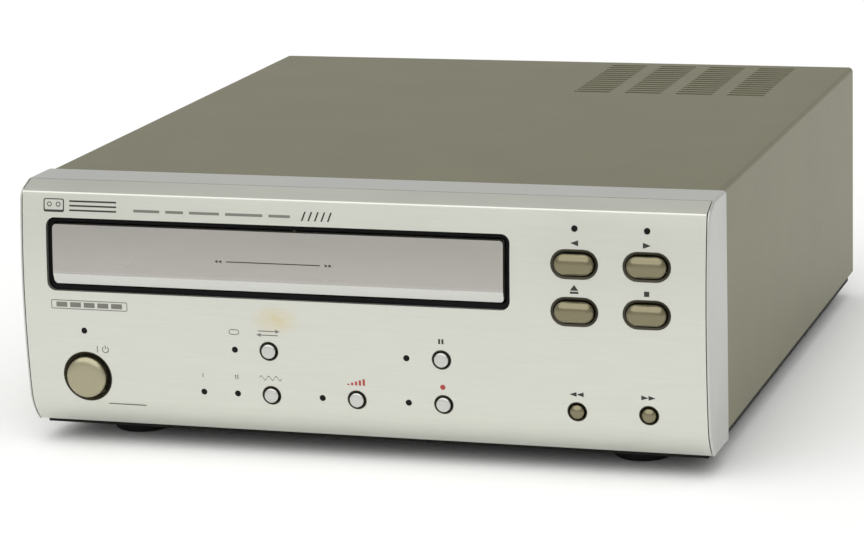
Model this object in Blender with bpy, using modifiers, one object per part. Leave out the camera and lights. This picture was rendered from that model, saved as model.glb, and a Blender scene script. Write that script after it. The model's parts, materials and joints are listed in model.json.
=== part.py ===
"""Mini-component cassette deck with a motorised cassette drawer.

Sizes are in millimetres and MM turns them into metres. Positions are written in the deck's own
frame: x from the middle of the front panel, y back from the crease where the face turns over the
top, z up from the front panel's lower edge. Everything hangs on one empty, which carries that
frame to the middle of the deck's footprint on the table.
"""
import math

import bmesh
import bpy
from mathutils import Matrix, Vector

MM = 0.001

# Fits
GAP = 0.3                    # between pieces that rest on or are screwed to each other
SLIDE_GAP = 0.4              # between pieces that slide past each other
SHEET = 1.0                  # steel sheet of the cover, the chassis and the rear panel
PAST = 1.0                   # how far a cutting shape reaches past what it cuts
SUNK = 0.5                   # how far a joined shape starts inside its piece

# Front panel
PANEL_WIDTH = 210.0
PANEL_HEIGHT = 73.9
PANEL_DEPTH = 21.4
CREASE_DROP = 2.5            # from the panel's top down to the crease of its face
FACE_BOW = 2.8               # how far the face bows forward at mid-height
ROLL_HEIGHT = 10.0           # the face rolls under over this height
ROLL_DEPTH = 4.0
BEVEL_DEPTH = 6.5            # from the crease back to the flat top
END_CREASE_RADIUS = 4.5
PLATE_CREASE_RADIUS = 0.8
PLATE_THICKNESS = 1.5
PLATE_INSET = 1.0            # from the panel's ends to the face plate's ends
PANEL_WALL = 2.0
END_WALL = 2.5

# Casing
CASE_DEPTH = 210.2           # from the front panel's back to the cover's rear face
COVER_INSET = 1.2
COVER_BEND_RADIUS = 1.5
COVER_SKIRT = 1.8            # the cover's lower edge above the panel's lower edge
COVER_FLANGE = 9.0
CHASSIS_FLANGE = 8.0
CHASSIS_LIP = 15.4           # how far the chassis reaches under the front panel
CHASSIS_FRONT_FLANGE = 5.0
CHASSIS_REAR_FLANGE = 7.5
CHASSIS_VENT_ROWS = 8
CHASSIS_VENT_PITCH = 6.0
CHASSIS_VENT_SLOT = 2.5
CHASSIS_VENT_WIDTH = 30.0
CHASSIS_VENT_END_MARGIN = 30.0
CHASSIS_VENT_REAR_MARGIN = 40.0
FOOT_RADIUS = 9.0
FOOT_CHAMFER = (0.9, 1.2)    # across and up
FOOT_SPACING_X = 158.0
FOOT_FRONT_Y = 24.5
FOOT_REAR_MARGIN = 22.0
GROUND_CLEARANCE = 6.5       # the front panel's lower edge above the table

# Vent slots of the cover, in groups side by side at its rear right
VENT_GROUPS = 4
VENT_PITCH = 17.4
VENT_WIDTH = 12.8
VENT_END_MARGIN = 20.2
VENT_REAR_MARGIN = 5.0
VENT_LENGTH = 56.0
VENT_ROWS = 14
VENT_SLOT = 2.0

# Cassette drawer
DRAWER_END_MARGIN = 8.5      # from the panel's left end to the drawer's opening
DRAWER_TOP_MARGIN = 7.5      # from the crease down to the opening
DRAWER_OPENING_WIDTH = 143.5
DRAWER_OPENING_HEIGHT = 22.0
DRAWER_CORNER = 2.7
DRAWER_REVEAL = 2.0          # black band seen around the drawer's front
DRAWER_FRONT_THICKNESS = 2.5
DRAWER_CHAMFER = 3.2         # height of the strip along the front's lower edge
DRAWER_CHAMFER_DEPTH = 1.2
DRAWER_TRAVEL = 76.0
SURROUND_REACH = 1.0         # how far the black surround reaches past the opening's edge

CASSETTE_WIDTH = 100.4
CASSETTE_LENGTH = 63.8
CASSETTE_PLAY = 0.5
HUB_SPACING = 42.5
HUB_FROM_FRONT = 29.4
CAPSTAN_SPACING = 62.0
CAPSTAN_FROM_REAR = 6.2

TRAY_WIDTH = 135.0
TRAY_HEIGHT = 11.0
TRAY_FLOOR = 1.5
TRAY_WALL = 2.0
TRAY_BELOW_OPENING = 3.0     # tray floor's underside above the opening's lower edge
TRAY_SLOT_WIDTH = 74.0
TRAY_ARM_WIDTH = 6.5
TRAY_ARM_HEIGHT = 7.0
RAIL_WALL = 2.5
RAIL_HEIGHT = 9.0
RAIL_LEDGE = 6.0
RAIL_LENGTH = 104.0
RAIL_BEHIND_PANEL = 2.6
RAIL_FLOOR = 2.25
RAIL_LEG = 10.0
RAIL_LEG_INSET = 2.0
RAIL_WINDOW_MARGIN = 2.0     # around the gear
SLOT_BEYOND_DISC = 1.5       # the tray's slot reaches this far ahead of the hubs' discs
ARM_FRONT_MARGIN = 8.0       # the tray's low arms start this far ahead of its back wall
ARM_SPARE_TEETH = 3          # past the gear when the drawer is out

# Rack and loading gear
MODULE = 1.0
GEAR_TEETH = 30
TOOTH_ADDENDUM = 0.8
TOOTH_DEDENDUM = 1.2
TOOTH_PLAY = 0.54            # backlash along the pitch line
GEAR_FROM_TRAY_FRONT = 68.4
GEAR_THICKNESS = 5.0
LOADING_GEARBOX_HEIGHT = 12.0
LOADING_MOTOR_RADIUS = 10.0
LOADING_MOTOR_LENGTH = 24.0
LOADING_SHAFT_RADIUS = 2.0
LOADING_SHAFT_RISE = 3.0     # shaft's tip above the gearbox, past the gear's thickness
LOADING_BOX_LENGTH = 26.0
LOADING_BOX_WIDTH = 28.0
LOADING_BOX_GAP = 1.6        # under the gear
LOADING_MOTOR_SHIFT = 3.0    # the motor stands this far to the right of its gear
LOADING_LEG = 2.5
LOADING_LEG_INSET = (0.5, 4.0)

# Tape mechanism, carried on one lifting plate
MECH_LIFT = 10.5
MECH_RAISED_DROP = 5.5       # lifting plate's top below the tray floor's underside when raised
MECH_PLATE = 1.5
MECH_HALF_WIDTH = 54.0
MECH_POST_X = 50.0
MECH_POST_RADIUS = 2.0
MECH_POST_INSET = 4.0
MECH_POST_CLEARANCE = 1.5    # under the drawer tray
MECH_WINDOW = (-40.0, 30.0)  # left and right edges, from the mechanism's middle
MECH_WINDOW_INSET = 12.0
MECH_FRONT_MARGIN = 9.6      # from the reel hubs forward to the plate's front edge
MECH_LENGTH = 92.0
SPINDLE_RADIUS = 3.4
SPINDLE_DISC_RADIUS = 10.5
SPINDLE_DISC_TOP = 3.2
SPINDLE_RISE = 13.5          # spindle's tip above the plate
SPINDLE_FIN = (1.0, 0.9)     # its thickness, and how far it stands out
HUB_STUB_DROP = 1.5          # below the lifting plate
CAPSTAN_RADIUS = 1.25
CAPSTAN_RISE = 14.0
FLYWHEEL_RADIUS = 16.0
FLYWHEEL_THICKNESS = 5.0
FLYWHEEL_DROP = 2.0          # flywheel's top below the plate's underside
FLYWHEEL_BOSS = (3.0, 1.0)   # its radius and height
FLYWHEEL_RIM = 3.0
FLYWHEEL_HOLLOW = 1.5
PULLEY_RADIUS = 4.0
PULLEY_SHAFT_TIP = 0.5       # the motor's shaft above its pulley
CAPSTAN_MOTOR_RADIUS = 11.0
CAPSTAN_MOTOR_HEIGHT = 14.0
CAPSTAN_MOTOR_X = 44.0       # from the mechanism's middle
CAPSTAN_MOTOR_BEHIND = 24.4  # behind the capstans
BELT_THICKNESS = 1.0
BELT_WIDTH = 3.0
HEAD_TRAVEL = 8.0
HEAD_PLATE_HALF_WIDTH = 18.0
HEAD_PLATE_LENGTH = 13.0
HEAD_PLATE_BEHIND = 11.5     # head plate's front edge behind the capstans
HEAD_PLATE_THICKNESS = 1.2
HEAD_PLATE_RISE = 3.4        # head plate and pinch arms above the lifting plate
HEAD_WIDTH = 12.0
HEAD_DEPTH = 7.0
HEAD_HEIGHT = 9.0
HEAD_CROWN = 2.0             # how far the tape face bows out
HEAD_SETBACK = 0.5           # behind the head plate's front edge
HEAD_GUIDE = (9.0, 13.0)     # rails under the head plate: near and far edges from the middle
HEAD_GUIDE_INSET = 1.0
MOTOR_SHELF = (10.0, 8.0)    # reach to the left of the motor's axis, and half its length
MOTOR_SHELF_WALL = 1.6       # clear of the belt
PINCH_PIVOT_X = 42.0
PINCH_PIVOT_BEHIND = 21.0
PINCH_SWING = 28.0           # degrees from parked to pressed on the capstan
PINCH_RADIUS = 5.0
PINCH_NIP = 0.15             # left between roller and capstan, for the tape
PINCH_ARM_HALF_WIDTH = 3.2
PINCH_ARM_THICKNESS = 1.2
PINCH_ROLLER_RISE = 4.0      # roller's lower face above the arm's underside
PINCH_ROLLER_HEIGHT = 7.6
PINCH_AXLE_RADIUS = 1.0
PIVOT_BOSS = 1.4             # the pivot's boss reaches this far past its pin
PIVOT_RISE = 1.5             # pivot's tip above the arm
PIN_RADIUS = 1.2

# Buttons. Columns are measured from the panel's right end, rows from its lower or upper edge.
RIGHT_COLUMN_MARGIN = 17.9
COLUMN_PITCH = 21.1
PAUSE_FROM_LEFT_COLUMN = 39.95
SMALL_PITCH = 26.5
POWER_END_MARGIN = 19.65
INDICATOR_OFFSET = 10.65
LOW_ROW = 12.75
MIDDLE_ROW = 26.35
POWER_ROW = 15.65
POWER_INDICATOR_ROW = 29.95
EJECT_ROW_DROP = 29.0        # below the crease
PLAY_ROW_DROP = 15.35
INDICATOR_ROW_DROP = 5.2

OBLONG_CAP = (11.8, 6.3)
OBLONG_RING = (14.1, 8.6)
SMALL_CAP_RADIUS = 2.15
SMALL_RING_RADIUS = 2.95
POWER_CAP_RADIUS = 6.3
POWER_RING_RADIUS = 7.8
CAP_CLEARANCE = 0.3
OBLONG_PROUD = 2.2
SMALL_PROUD = 1.3
POWER_PROUD = 2.4
BUTTON_FLANGE = 0.9          # how far a button's flange reaches past its cap
BUTTON_FLANGE_THICKNESS = 1.0
BUTTON_STEM_RADIUS = 1.6
BUTTON_TRAVEL = 0.8
SWITCH_SIZE = 6.0
SWITCH_HEIGHT = 2.2
INDICATOR_RADIUS = 0.85
INDICATOR_CLEARANCE = 0.25

# Boards and rear fittings
FRONT_BOARD_Y = 18.4
BOARD_THICKNESS = 1.6
FRONT_BOARD_MARGIN = 6.0     # from the panel's ends
FRONT_BOARD_LOW = 5.5
FRONT_BOARD_TOP_DROP = 2.5   # below the crease
FRONT_BOARD_BESIDE_DRAWER = 3.0
FRONT_BOARD_BELOW_DRAWER = 2.0
MAIN_BOARD_HEIGHT = 8.0
MAIN_BOARD_LEFT_MARGIN = 8.0
MAIN_BOARD_RIGHT_MARGIN = 62.0
MAIN_BOARD_BEHIND_MECH = 12.0
MAIN_BOARD_REAR_MARGIN = 3.0
BOARD_POST_INSET = 5.0
BOARD_POST_RADIUS = 2.5
CAPACITOR_PLACES = (12.0, (14.0, 29.0, 44.0, 59.0))   # from the board's right end and front edge
CAPACITOR_RADIUS = 5.0
CAPACITOR_HEIGHT = 16.0
CHIP_PLACES = ((12.0, 26.0, 40.0), 16.0)              # from the board's left end and front edge
CHIP_SIZE = (8.0, 20.0, 3.5)
SHIELD_PLACE = (30.0, 10.0)  # these three from the board's right end and front edge
SHIELD_SIZE = (30.0, 12.0, 4.0)
HEAT_SINK_PLACE = (26.0, 34.0)
HEAT_SINK_SIZE = (34.0, 4.0, 22.0)
PROCESSOR_PLACE = (44.0, 52.0)
PROCESSOR_SIZE = (12.0, 12.0, 3.0)
TRANSFORMER_SIZE = (42.0, 46.0, 36.0)
TRANSFORMER_CORE_DEPTH = 29.9
TRANSFORMER_END_MARGIN = 13.0
TRANSFORMER_REAR_MARGIN = 32.0
COIL_INSET = (7.0, 6.0)      # the coil from the core's sides and from its top and bottom
JACK_RADIUS = 4.2
JACK_REACH = 8.0
JACK_PITCH = 14.0
JACK_BORE_RADIUS = 1.6
JACK_BLOCK_MARGIN = 6.0      # around the jacks' centres
JACK_BLOCK_DEPTH = 14.0
INLET_OPENING = (16.0, 9.0)
INLET_BODY = (22.0, 20.0, 15.0)
INLET_RIM = 0.6              # between the panel's cut-out and the socket's throat
INLET_THROAT = 13.0
INLET_PIN_RADIUS = 1.2
INLET_PIN_LENGTH = 10.0
INLET_PIN_OFFSET = 3.4       # each pin from the socket's middle
SCREW_HEAD_RADIUS = 3.0
SCREW_HEAD_HEIGHT = 1.8
SCREW_RADIUS = 1.5
SCREW_SPACING = 80.0
SCREW_SHANK = 7.0
SCREW_RECESS = (3.6, 0.7, 0.8)   # length, width and depth of its cross
JACK_END_MARGIN = 22.0
JACK_Z = 18.0                # the lower pair
INLET_END_MARGIN = 28.0
INLET_Z = 16.0

# Worked out from the sizes above
HALF_WIDTH = PANEL_WIDTH / 2
CREASE = PANEL_HEIGHT - CREASE_DROP
CASE_BACK = PANEL_DEPTH + CASE_DEPTH
COVER_FRONT = PANEL_DEPTH + GAP
COVER_HALF = HALF_WIDTH - COVER_INSET
INNER_HALF = COVER_HALF - SHEET - GAP
REAR_PANEL_BACK = CASE_BACK - SHEET - GAP
CHASSIS_TOP = -GAP
CHASSIS_UNDERSIDE = CHASSIS_TOP - SHEET
CHASSIS_BACK = REAR_PANEL_BACK - SHEET - GAP


def face_y(z):
    """Where the front face's surface lies at height z: bowed forward, rolled under at the foot."""
    middle = CREASE / 2
    bow = -FACE_BOW * (1 - ((z - middle) / middle) ** 2)
    roll = max(0.0, (ROLL_HEIGHT - z) / ROLL_HEIGHT)
    return bow + ROLL_DEPTH * roll ** 2.2


OPENING_LEFT = -HALF_WIDTH + DRAWER_END_MARGIN
OPENING_RIGHT = OPENING_LEFT + DRAWER_OPENING_WIDTH
OPENING_TOP = CREASE - DRAWER_TOP_MARGIN
OPENING_BOTTOM = OPENING_TOP - DRAWER_OPENING_HEIGHT
DRAWER_X = (OPENING_LEFT + OPENING_RIGHT) / 2
DRAWER_Z = (OPENING_BOTTOM + OPENING_TOP) / 2
DRAWER_FRONT_WIDTH = DRAWER_OPENING_WIDTH - 2 * DRAWER_REVEAL
DRAWER_FRONT_HEIGHT = DRAWER_OPENING_HEIGHT - 2 * DRAWER_REVEAL
TRAY_HALF = TRAY_WIDTH / 2
TRAY_BOTTOM = OPENING_BOTTOM + TRAY_BELOW_OPENING
TRAY_FRONT = face_y(OPENING_TOP - DRAWER_REVEAL) + DRAWER_FRONT_THICKNESS + GAP
WELL_FRONT = TRAY_FRONT + TRAY_WALL
WELL_LENGTH = CASSETTE_LENGTH + 2 * CASSETTE_PLAY
WELL_BACK = WELL_FRONT + WELL_LENGTH
WELL_HALF = CASSETTE_WIDTH / 2 + CASSETTE_PLAY
TRAY_BACK = WELL_BACK + TRAY_WALL
HUB_Y = WELL_FRONT + CASSETTE_PLAY + HUB_FROM_FRONT
CAPSTAN_Y = WELL_FRONT + CASSETTE_PLAY + CASSETTE_LENGTH - CAPSTAN_FROM_REAR

PITCH = math.pi * MODULE
GEAR_RADIUS = MODULE * GEAR_TEETH / 2
GEAR_Y = TRAY_FRONT + GEAR_FROM_TRAY_FRONT
RACK_PITCH_X = DRAWER_X + TRAY_HALF - TOOTH_ADDENDUM
GEAR_X = RACK_PITCH_X + GEAR_RADIUS
ARM_FRONT = TRAY_BACK - ARM_FRONT_MARGIN
ARM_BACK = GEAR_Y + DRAWER_TRAVEL + ARM_SPARE_TEETH * PITCH

MECH_TOP = TRAY_BOTTOM - MECH_RAISED_DROP - MECH_LIFT
MECH_FRONT = HUB_Y - MECH_FRONT_MARGIN
MECH_BACK = MECH_FRONT + MECH_LENGTH
MOTOR_Y = CAPSTAN_Y + CAPSTAN_MOTOR_BEHIND
FLYWHEEL_TOP = MECH_TOP - MECH_PLATE - FLYWHEEL_DROP
FLYWHEEL_BOTTOM = FLYWHEEL_TOP - FLYWHEEL_THICKNESS
BELT_Z = (FLYWHEEL_TOP + FLYWHEEL_BOTTOM) / 2
SHELF_TOP = FLYWHEEL_BOTTOM - 2 * GAP
MOTOR_X = DRAWER_X + CAPSTAN_MOTOR_X
HEAD_PLATE_Z = MECH_TOP + HEAD_PLATE_RISE
HEAD_PLATE_FRONT = CAPSTAN_Y + HEAD_PLATE_BEHIND
PINCH_PIVOT_Y = CAPSTAN_Y + PINCH_PIVOT_BEHIND
RAIL_FRONT = PANEL_DEPTH + RAIL_BEHIND_PANEL
RAIL_BACK = RAIL_FRONT + RAIL_LENGTH

SCREW_PLACES = (-SCREW_SPACING, 0.0, SCREW_SPACING)
SCREW_Z = PANEL_HEIGHT - COVER_FLANGE / 2 - SHEET
JACK_X = -HALF_WIDTH + JACK_END_MARGIN
INLET_X = HALF_WIDTH - INLET_END_MARGIN

COLUMN_RIGHT = HALF_WIDTH - RIGHT_COLUMN_MARGIN
COLUMN_LEFT = COLUMN_RIGHT - COLUMN_PITCH
PAUSE_X = COLUMN_LEFT - PAUSE_FROM_LEFT_COLUMN
LEVEL_X = PAUSE_X - SMALL_PITCH
MODE_X = LEVEL_X - SMALL_PITCH
POWER_X = -HALF_WIDTH + POWER_END_MARGIN
PLAY_ROW = CREASE - PLAY_ROW_DROP
EJECT_ROW = CREASE - EJECT_ROW_DROP
INDICATOR_ROW = CREASE - INDICATOR_ROW_DROP
SWITCH_FRONT = FRONT_BOARD_Y - SWITCH_HEIGHT
STEM_END = SWITCH_FRONT - GAP - BUTTON_TRAVEL

OBLONG_BUTTONS = {
    "button_play_reverse": (COLUMN_LEFT, PLAY_ROW),
    "button_play_forward": (COLUMN_RIGHT, PLAY_ROW),
    "button_eject": (COLUMN_LEFT, EJECT_ROW),
    "button_stop": (COLUMN_RIGHT, EJECT_ROW),
}
SMALL_BUTTONS = {
    "button_rewind": (COLUMN_LEFT, LOW_ROW),
    "button_fast_forward": (COLUMN_RIGHT, LOW_ROW),
    "button_reverse_mode": (MODE_X, MIDDLE_ROW),
    "button_noise_reduction": (MODE_X, LOW_ROW),
    "button_record_level": (LEVEL_X, LOW_ROW),
    "button_pause": (PAUSE_X, MIDDLE_ROW),
    "button_record": (PAUSE_X, LOW_ROW),
}
INDICATORS = {
    "indicator_play_reverse": (COLUMN_LEFT, INDICATOR_ROW),
    "indicator_play_forward": (COLUMN_RIGHT, INDICATOR_ROW),
    "indicator_power": (POWER_X, POWER_INDICATOR_ROW),
    "indicator_reverse_mode": (MODE_X - INDICATOR_OFFSET, MIDDLE_ROW),
    "indicator_filter_b": (MODE_X - 2 * INDICATOR_OFFSET, LOW_ROW),
    "indicator_filter_c": (MODE_X - INDICATOR_OFFSET, LOW_ROW),
    "indicator_record_level": (LEVEL_X - INDICATOR_OFFSET, LOW_ROW),
    "indicator_pause": (PAUSE_X - INDICATOR_OFFSET, MIDDLE_ROW),
    "indicator_record": (PAUSE_X - INDICATOR_OFFSET, LOW_ROW),
}

# Frames that carry a flat outline (u, v) and its depth w into x, y, z
ALONG_X = Matrix(((0, 0, 1, 0), (1, 0, 0, 0), (0, 1, 0, 0), (0, 0, 0, 1)))
ALONG_Y = Matrix(((1, 0, 0, 0), (0, 0, -1, 0), (0, 1, 0, 0), (0, 0, 0, 1)))
ALONG_Z = Matrix.Identity(4)


FRONT_MOST = min(face_y(EJECT_ROW), face_y(PLAY_ROW)) - OBLONG_PROUD
FRAME_SHIFT = Vector((0, -(FRONT_MOST + REAR_PANEL_BACK + JACK_REACH) / 2, GROUND_CLEARANCE))


# ---- scene and materials ---------------------------------------------------------------------

def clear_scene():
    for thing in list(bpy.data.objects):
        bpy.data.objects.remove(thing)


def new_collection(name):
    collection = bpy.data.collections.new(name)
    bpy.context.scene.collection.children.link(collection)
    return collection


def new_material(name, colour, roughness, metallic=0.0):
    material = bpy.data.materials.new(name)
    material.use_nodes = True
    shader = material.node_tree.nodes["Principled BSDF"]
    shader.inputs["Base Color"].default_value = (*colour, 1)
    shader.inputs["Roughness"].default_value = roughness
    shader.inputs["Metallic"].default_value = metallic
    material.diffuse_color = (*colour, 1)
    return material


clear_scene()
PARTS = new_collection("cassette_deck")
CUTTERS = new_collection("cutters")
DECK = bpy.data.objects.new("deck_frame", None)
DECK.location = FRAME_SHIFT * MM
PARTS.objects.link(DECK)

FINISHES = {
    "silver_plate": ((0.58, 0.57, 0.50), 0.38, 0.85),
    "silver_plastic": ((0.50, 0.50, 0.47), 0.45, 0.3),
    "drawer_metal": ((0.42, 0.39, 0.35), 0.35, 0.8),
    "cover_paint": ((0.22, 0.215, 0.155), 0.5, 0.5),
    "chassis_steel": ((0.03, 0.03, 0.028), 0.5, 0.6),
    "zinc_steel": ((0.45, 0.45, 0.42), 0.4, 0.9),
    "black_plastic": ((0.015, 0.015, 0.014), 0.45, 0.0),
    "gold_metal": ((0.42, 0.37, 0.22), 0.3, 0.9),
    "button_silver": ((0.52, 0.52, 0.49), 0.3, 0.7),
    "rubber": ((0.02, 0.02, 0.02), 0.85, 0.0),
    "indicator": ((0.012, 0.010, 0.010), 0.2, 0.0),
    "circuit_board": ((0.03, 0.11, 0.05), 0.5, 0.0),
    "white_plastic": ((0.62, 0.62, 0.58), 0.5, 0.0),
    "brass": ((0.60, 0.45, 0.18), 0.3, 1.0),
    "transformer_core": ((0.12, 0.12, 0.12), 0.5, 0.7),
}


# ---- shape helpers ---------------------------------------------------------------------------

def finish_object(name, mesh, group):
    item = bpy.data.objects.new(name, mesh)
    item.parent = DECK
    group.objects.link(item)
    return item


def scaled_mesh(name, shape):
    bmesh.ops.recalc_face_normals(shape, faces=shape.faces)
    bmesh.ops.scale(shape, vec=(MM, MM, MM), verts=shape.verts)
    mesh = bpy.data.meshes.new(name)
    shape.to_mesh(mesh)
    shape.free()
    return mesh


def add_part(name, shape, finish, origin=(0, 0, 0)):
    """A sub-part from a bmesh in millimetres, with its own origin and its own material."""
    bmesh.ops.translate(shape, vec=-Vector(origin), verts=shape.verts)
    mesh = scaled_mesh(name, shape)
    part = finish_object(name, mesh, PARTS)
    part.location = Vector(origin) * MM
    mesh.materials.append(new_material(name, *FINISHES[finish]))
    return part


def reshape(part, operation, shape, origin=(0, 0, 0)):
    """Cut a part by a shape, or join the shape to it, with a Boolean modifier."""
    bmesh.ops.translate(shape, vec=-Vector(origin), verts=shape.verts)
    tool = finish_object(part.name + "_" + operation.lower(), scaled_mesh("tool", shape), CUTTERS)
    tool.location = Vector(origin) * MM
    tool.hide_render = True
    tool.display_type = "WIRE"
    boolean = part.modifiers.new(operation.title(), "BOOLEAN")
    boolean.operation = operation
    boolean.object = tool
    boolean.solver = "EXACT"


def add_box(shape, low, high):
    size = [b - a for a, b in zip(low, high)]
    centre = [(a + b) / 2 for a, b in zip(low, high)]
    place = Matrix.Translation(centre) @ Matrix.Diagonal((*size, 1))
    bmesh.ops.create_cube(shape, size=1, matrix=place)


def add_cylinder(shape, start, axis, length, radius, segments=20):
    """A cylinder from start along an axis vector."""
    direction = Vector(axis).normalized()
    turn = direction.to_track_quat("Z", "Y").to_matrix().to_4x4()
    place = Matrix.Translation(Vector(start) + direction * length / 2) @ turn
    bmesh.ops.create_cone(shape, cap_ends=True, segments=segments, radius1=radius,
                          radius2=radius, depth=length, matrix=place)


def add_outline(shape, points, low, high, frame):
    """A flat outline, filled and made solid from low to high along the frame's depth."""
    curve = bpy.data.curves.new("outline", "CURVE")
    curve.dimensions = "2D"
    curve.fill_mode = "BOTH"
    curve.extrude = (high - low) / 2
    spline = curve.splines.new("POLY")
    spline.points.add(len(points) - 1)
    for point, (u, v) in zip(spline.points, points):
        point.co = (u, v, 0, 1)
    spline.use_cyclic_u = True
    holder = bpy.data.objects.new("outline", curve)
    bpy.context.scene.collection.objects.link(holder)
    graph = bpy.context.evaluated_depsgraph_get()
    mesh = bpy.data.meshes.new_from_object(holder.evaluated_get(graph))
    solid = bmesh.new()
    solid.from_mesh(mesh)
    bmesh.ops.remove_doubles(solid, verts=solid.verts, dist=0.0001)
    depth_axis = frame.to_3x3() @ Vector((0, 0, 1))
    middle = (low + high) / 2
    centre = Vector([abs(part) * middle for part in depth_axis])
    bmesh.ops.transform(solid, matrix=Matrix.Translation(centre) @ frame, verts=solid.verts)
    solid.to_mesh(mesh)
    solid.free()
    shape.from_mesh(mesh)
    bpy.data.objects.remove(holder)
    bpy.data.curves.remove(curve)
    bpy.data.meshes.remove(mesh)


def boxes(*corners):
    shape = bmesh.new()
    for low, high in corners:
        add_box(shape, low, high)
    return shape


def arc(centre_u, centre_v, radius, start, end, steps):
    """Points on an arc, angles in degrees."""
    angles = [math.radians(start + (end - start) * i / steps) for i in range(steps + 1)]
    return [(centre_u + radius * math.cos(a), centre_v + radius * math.sin(a)) for a in angles]


def rounded_rectangle(centre_u, centre_v, width, height, radius, steps=4):
    points = []
    corners = ((1, 1, 0), (-1, 1, 90), (-1, -1, 180), (1, -1, 270))
    for side_u, side_v, start in corners:
        u = centre_u + side_u * (width / 2 - radius)
        v = centre_v + side_v * (height / 2 - radius)
        points += arc(u, v, radius, start, start + 90, steps)
    return points


def stadium(centre_u, centre_v, size, steps=8):
    """An oblong with round ends."""
    width, height = size
    reach = (width - height) / 2
    right = arc(centre_u + reach, centre_v, height / 2, -90, 90, steps)
    left = arc(centre_u - reach, centre_v, height / 2, 90, 270, steps)
    return right + left


def offset_line(points, distance):
    """The open line moved sideways, to the right of its direction, with mitred corners."""
    moved = []
    for i, point in enumerate(points):
        here = Vector(point)
        ahead = Vector(points[min(i + 1, len(points) - 1)])
        behind = Vector(points[max(i - 1, 0)])
        into = (here - behind).normalized() if i > 0 else (ahead - here).normalized()
        out = (ahead - here).normalized() if i < len(points) - 1 else into
        normal = Vector((into.y + out.y, -into.x - out.x)).normalized()
        stretch = normal.dot(Vector((into.y, -into.x)))
        moved.append(tuple(here + normal * distance / stretch))
    return moved


def add_turned(name, profile, finish, at, front=False, steps=20):
    """A turned piece from (radius, height) points that run from its top down its outer side.

    It stands along +Z, or with front set it points its top out of the deck's front.
    """
    mesh = bpy.data.meshes.new(name)
    points = [(radius * MM, 0, height * MM) for radius, height in profile]
    mesh.from_pydata(points, [(i, i + 1) for i in range(len(points) - 1)], [])
    part = finish_object(name, mesh, PARTS)
    part.location = Vector(at) * MM
    if front:
        part.rotation_euler = (math.radians(90), 0, 0)
    screw = part.modifiers.new("Turn", "SCREW")
    screw.steps = steps
    screw.render_steps = steps
    screw.use_merge_vertices = True
    screw.merge_threshold = 0.00001
    screw.use_smooth_shade = True
    mesh.materials.append(new_material(name, *FINISHES[finish]))
    return part


# ---- front panel -----------------------------------------------------------------------------

def fillet(corner, first, second, radius, steps):
    """Points that round a corner, from its first side to its second, given as directions."""
    first, second = Vector(first).normalized(), Vector(second).normalized()
    half = first.angle(second) / 2
    reach = radius / math.tan(half)
    centre = Vector(corner) + (first + second).normalized() * radius / math.sin(half)
    start = Vector(corner) + first * reach - centre
    end = Vector(corner) + second * reach - centre
    sweep = start.angle_signed(end)
    turns = [Matrix.Rotation(-sweep * i / steps, 2) for i in range(steps + 1)]
    return [tuple(centre + turn @ start) for turn in turns]


def face_line(low, crease_radius=0.0):
    """The face's outer line in y and z, from height low up over the crease to the flat top."""
    crease = [(0.0, CREASE)]
    if crease_radius:
        lean = 4 * FACE_BOW / CREASE
        crease = fillet(crease[0], (-lean, -1), (BEVEL_DEPTH, CREASE_DROP), crease_radius, 3)
    roll = [low + (ROLL_HEIGHT - low) * i / 4 for i in range(5)]
    upright = [ROLL_HEIGHT + (crease[0][1] - ROLL_HEIGHT) * i / 6 for i in range(1, 6)]
    return [(face_y(z), z) for z in roll + upright] + crease + [(BEVEL_DEPTH, PANEL_HEIGHT)]


def round_hole(x, z, radius, steps):
    return arc(x, z, radius, 0, 360 * (steps - 1) / steps, steps - 1)


def ahead_of_face(depth):
    """Everything ahead of a line that runs the given depth behind the face's surface."""
    line = offset_line(face_line(0.0), depth)
    far = -6 * FACE_BOW
    below = [(far, -PAST), (line[0][0], -PAST)]
    above = [(line[-1][0], PANEL_HEIGHT + PAST), (far, PANEL_HEIGHT + PAST)]
    return below + line + above


def make_face_plate():
    outer = face_line(GAP, PLATE_CREASE_RADIUS)
    inner = offset_line(face_line(GAP), PLATE_THICKNESS)
    half = HALF_WIDTH - PLATE_INSET
    shape = bmesh.new()
    add_outline(shape, outer + inner[::-1], -half, half, ALONG_X)
    plate = add_part("face_plate", shape, "silver_plate")

    holes = [rounded_rectangle(DRAWER_X, DRAWER_Z, DRAWER_OPENING_WIDTH, DRAWER_OPENING_HEIGHT,
                               DRAWER_CORNER)]
    holes += [stadium(x, z, OBLONG_RING) for x, z in OBLONG_BUTTONS.values()]
    holes += [round_hole(x, z, SMALL_RING_RADIUS, 20) for x, z in SMALL_BUTTONS.values()]
    holes += [round_hole(POWER_X, POWER_ROW, POWER_RING_RADIUS, 32)]
    lens_hole = INDICATOR_RADIUS + INDICATOR_CLEARANCE
    holes += [round_hole(x, z, lens_hole, 12) for x, z in INDICATORS.values()]
    cut = bmesh.new()
    for hole in holes:
        add_outline(cut, hole, -3 * FACE_BOW, PANEL_DEPTH / 2, ALONG_Y)
    reshape(plate, "DIFFERENCE", cut)


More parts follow.
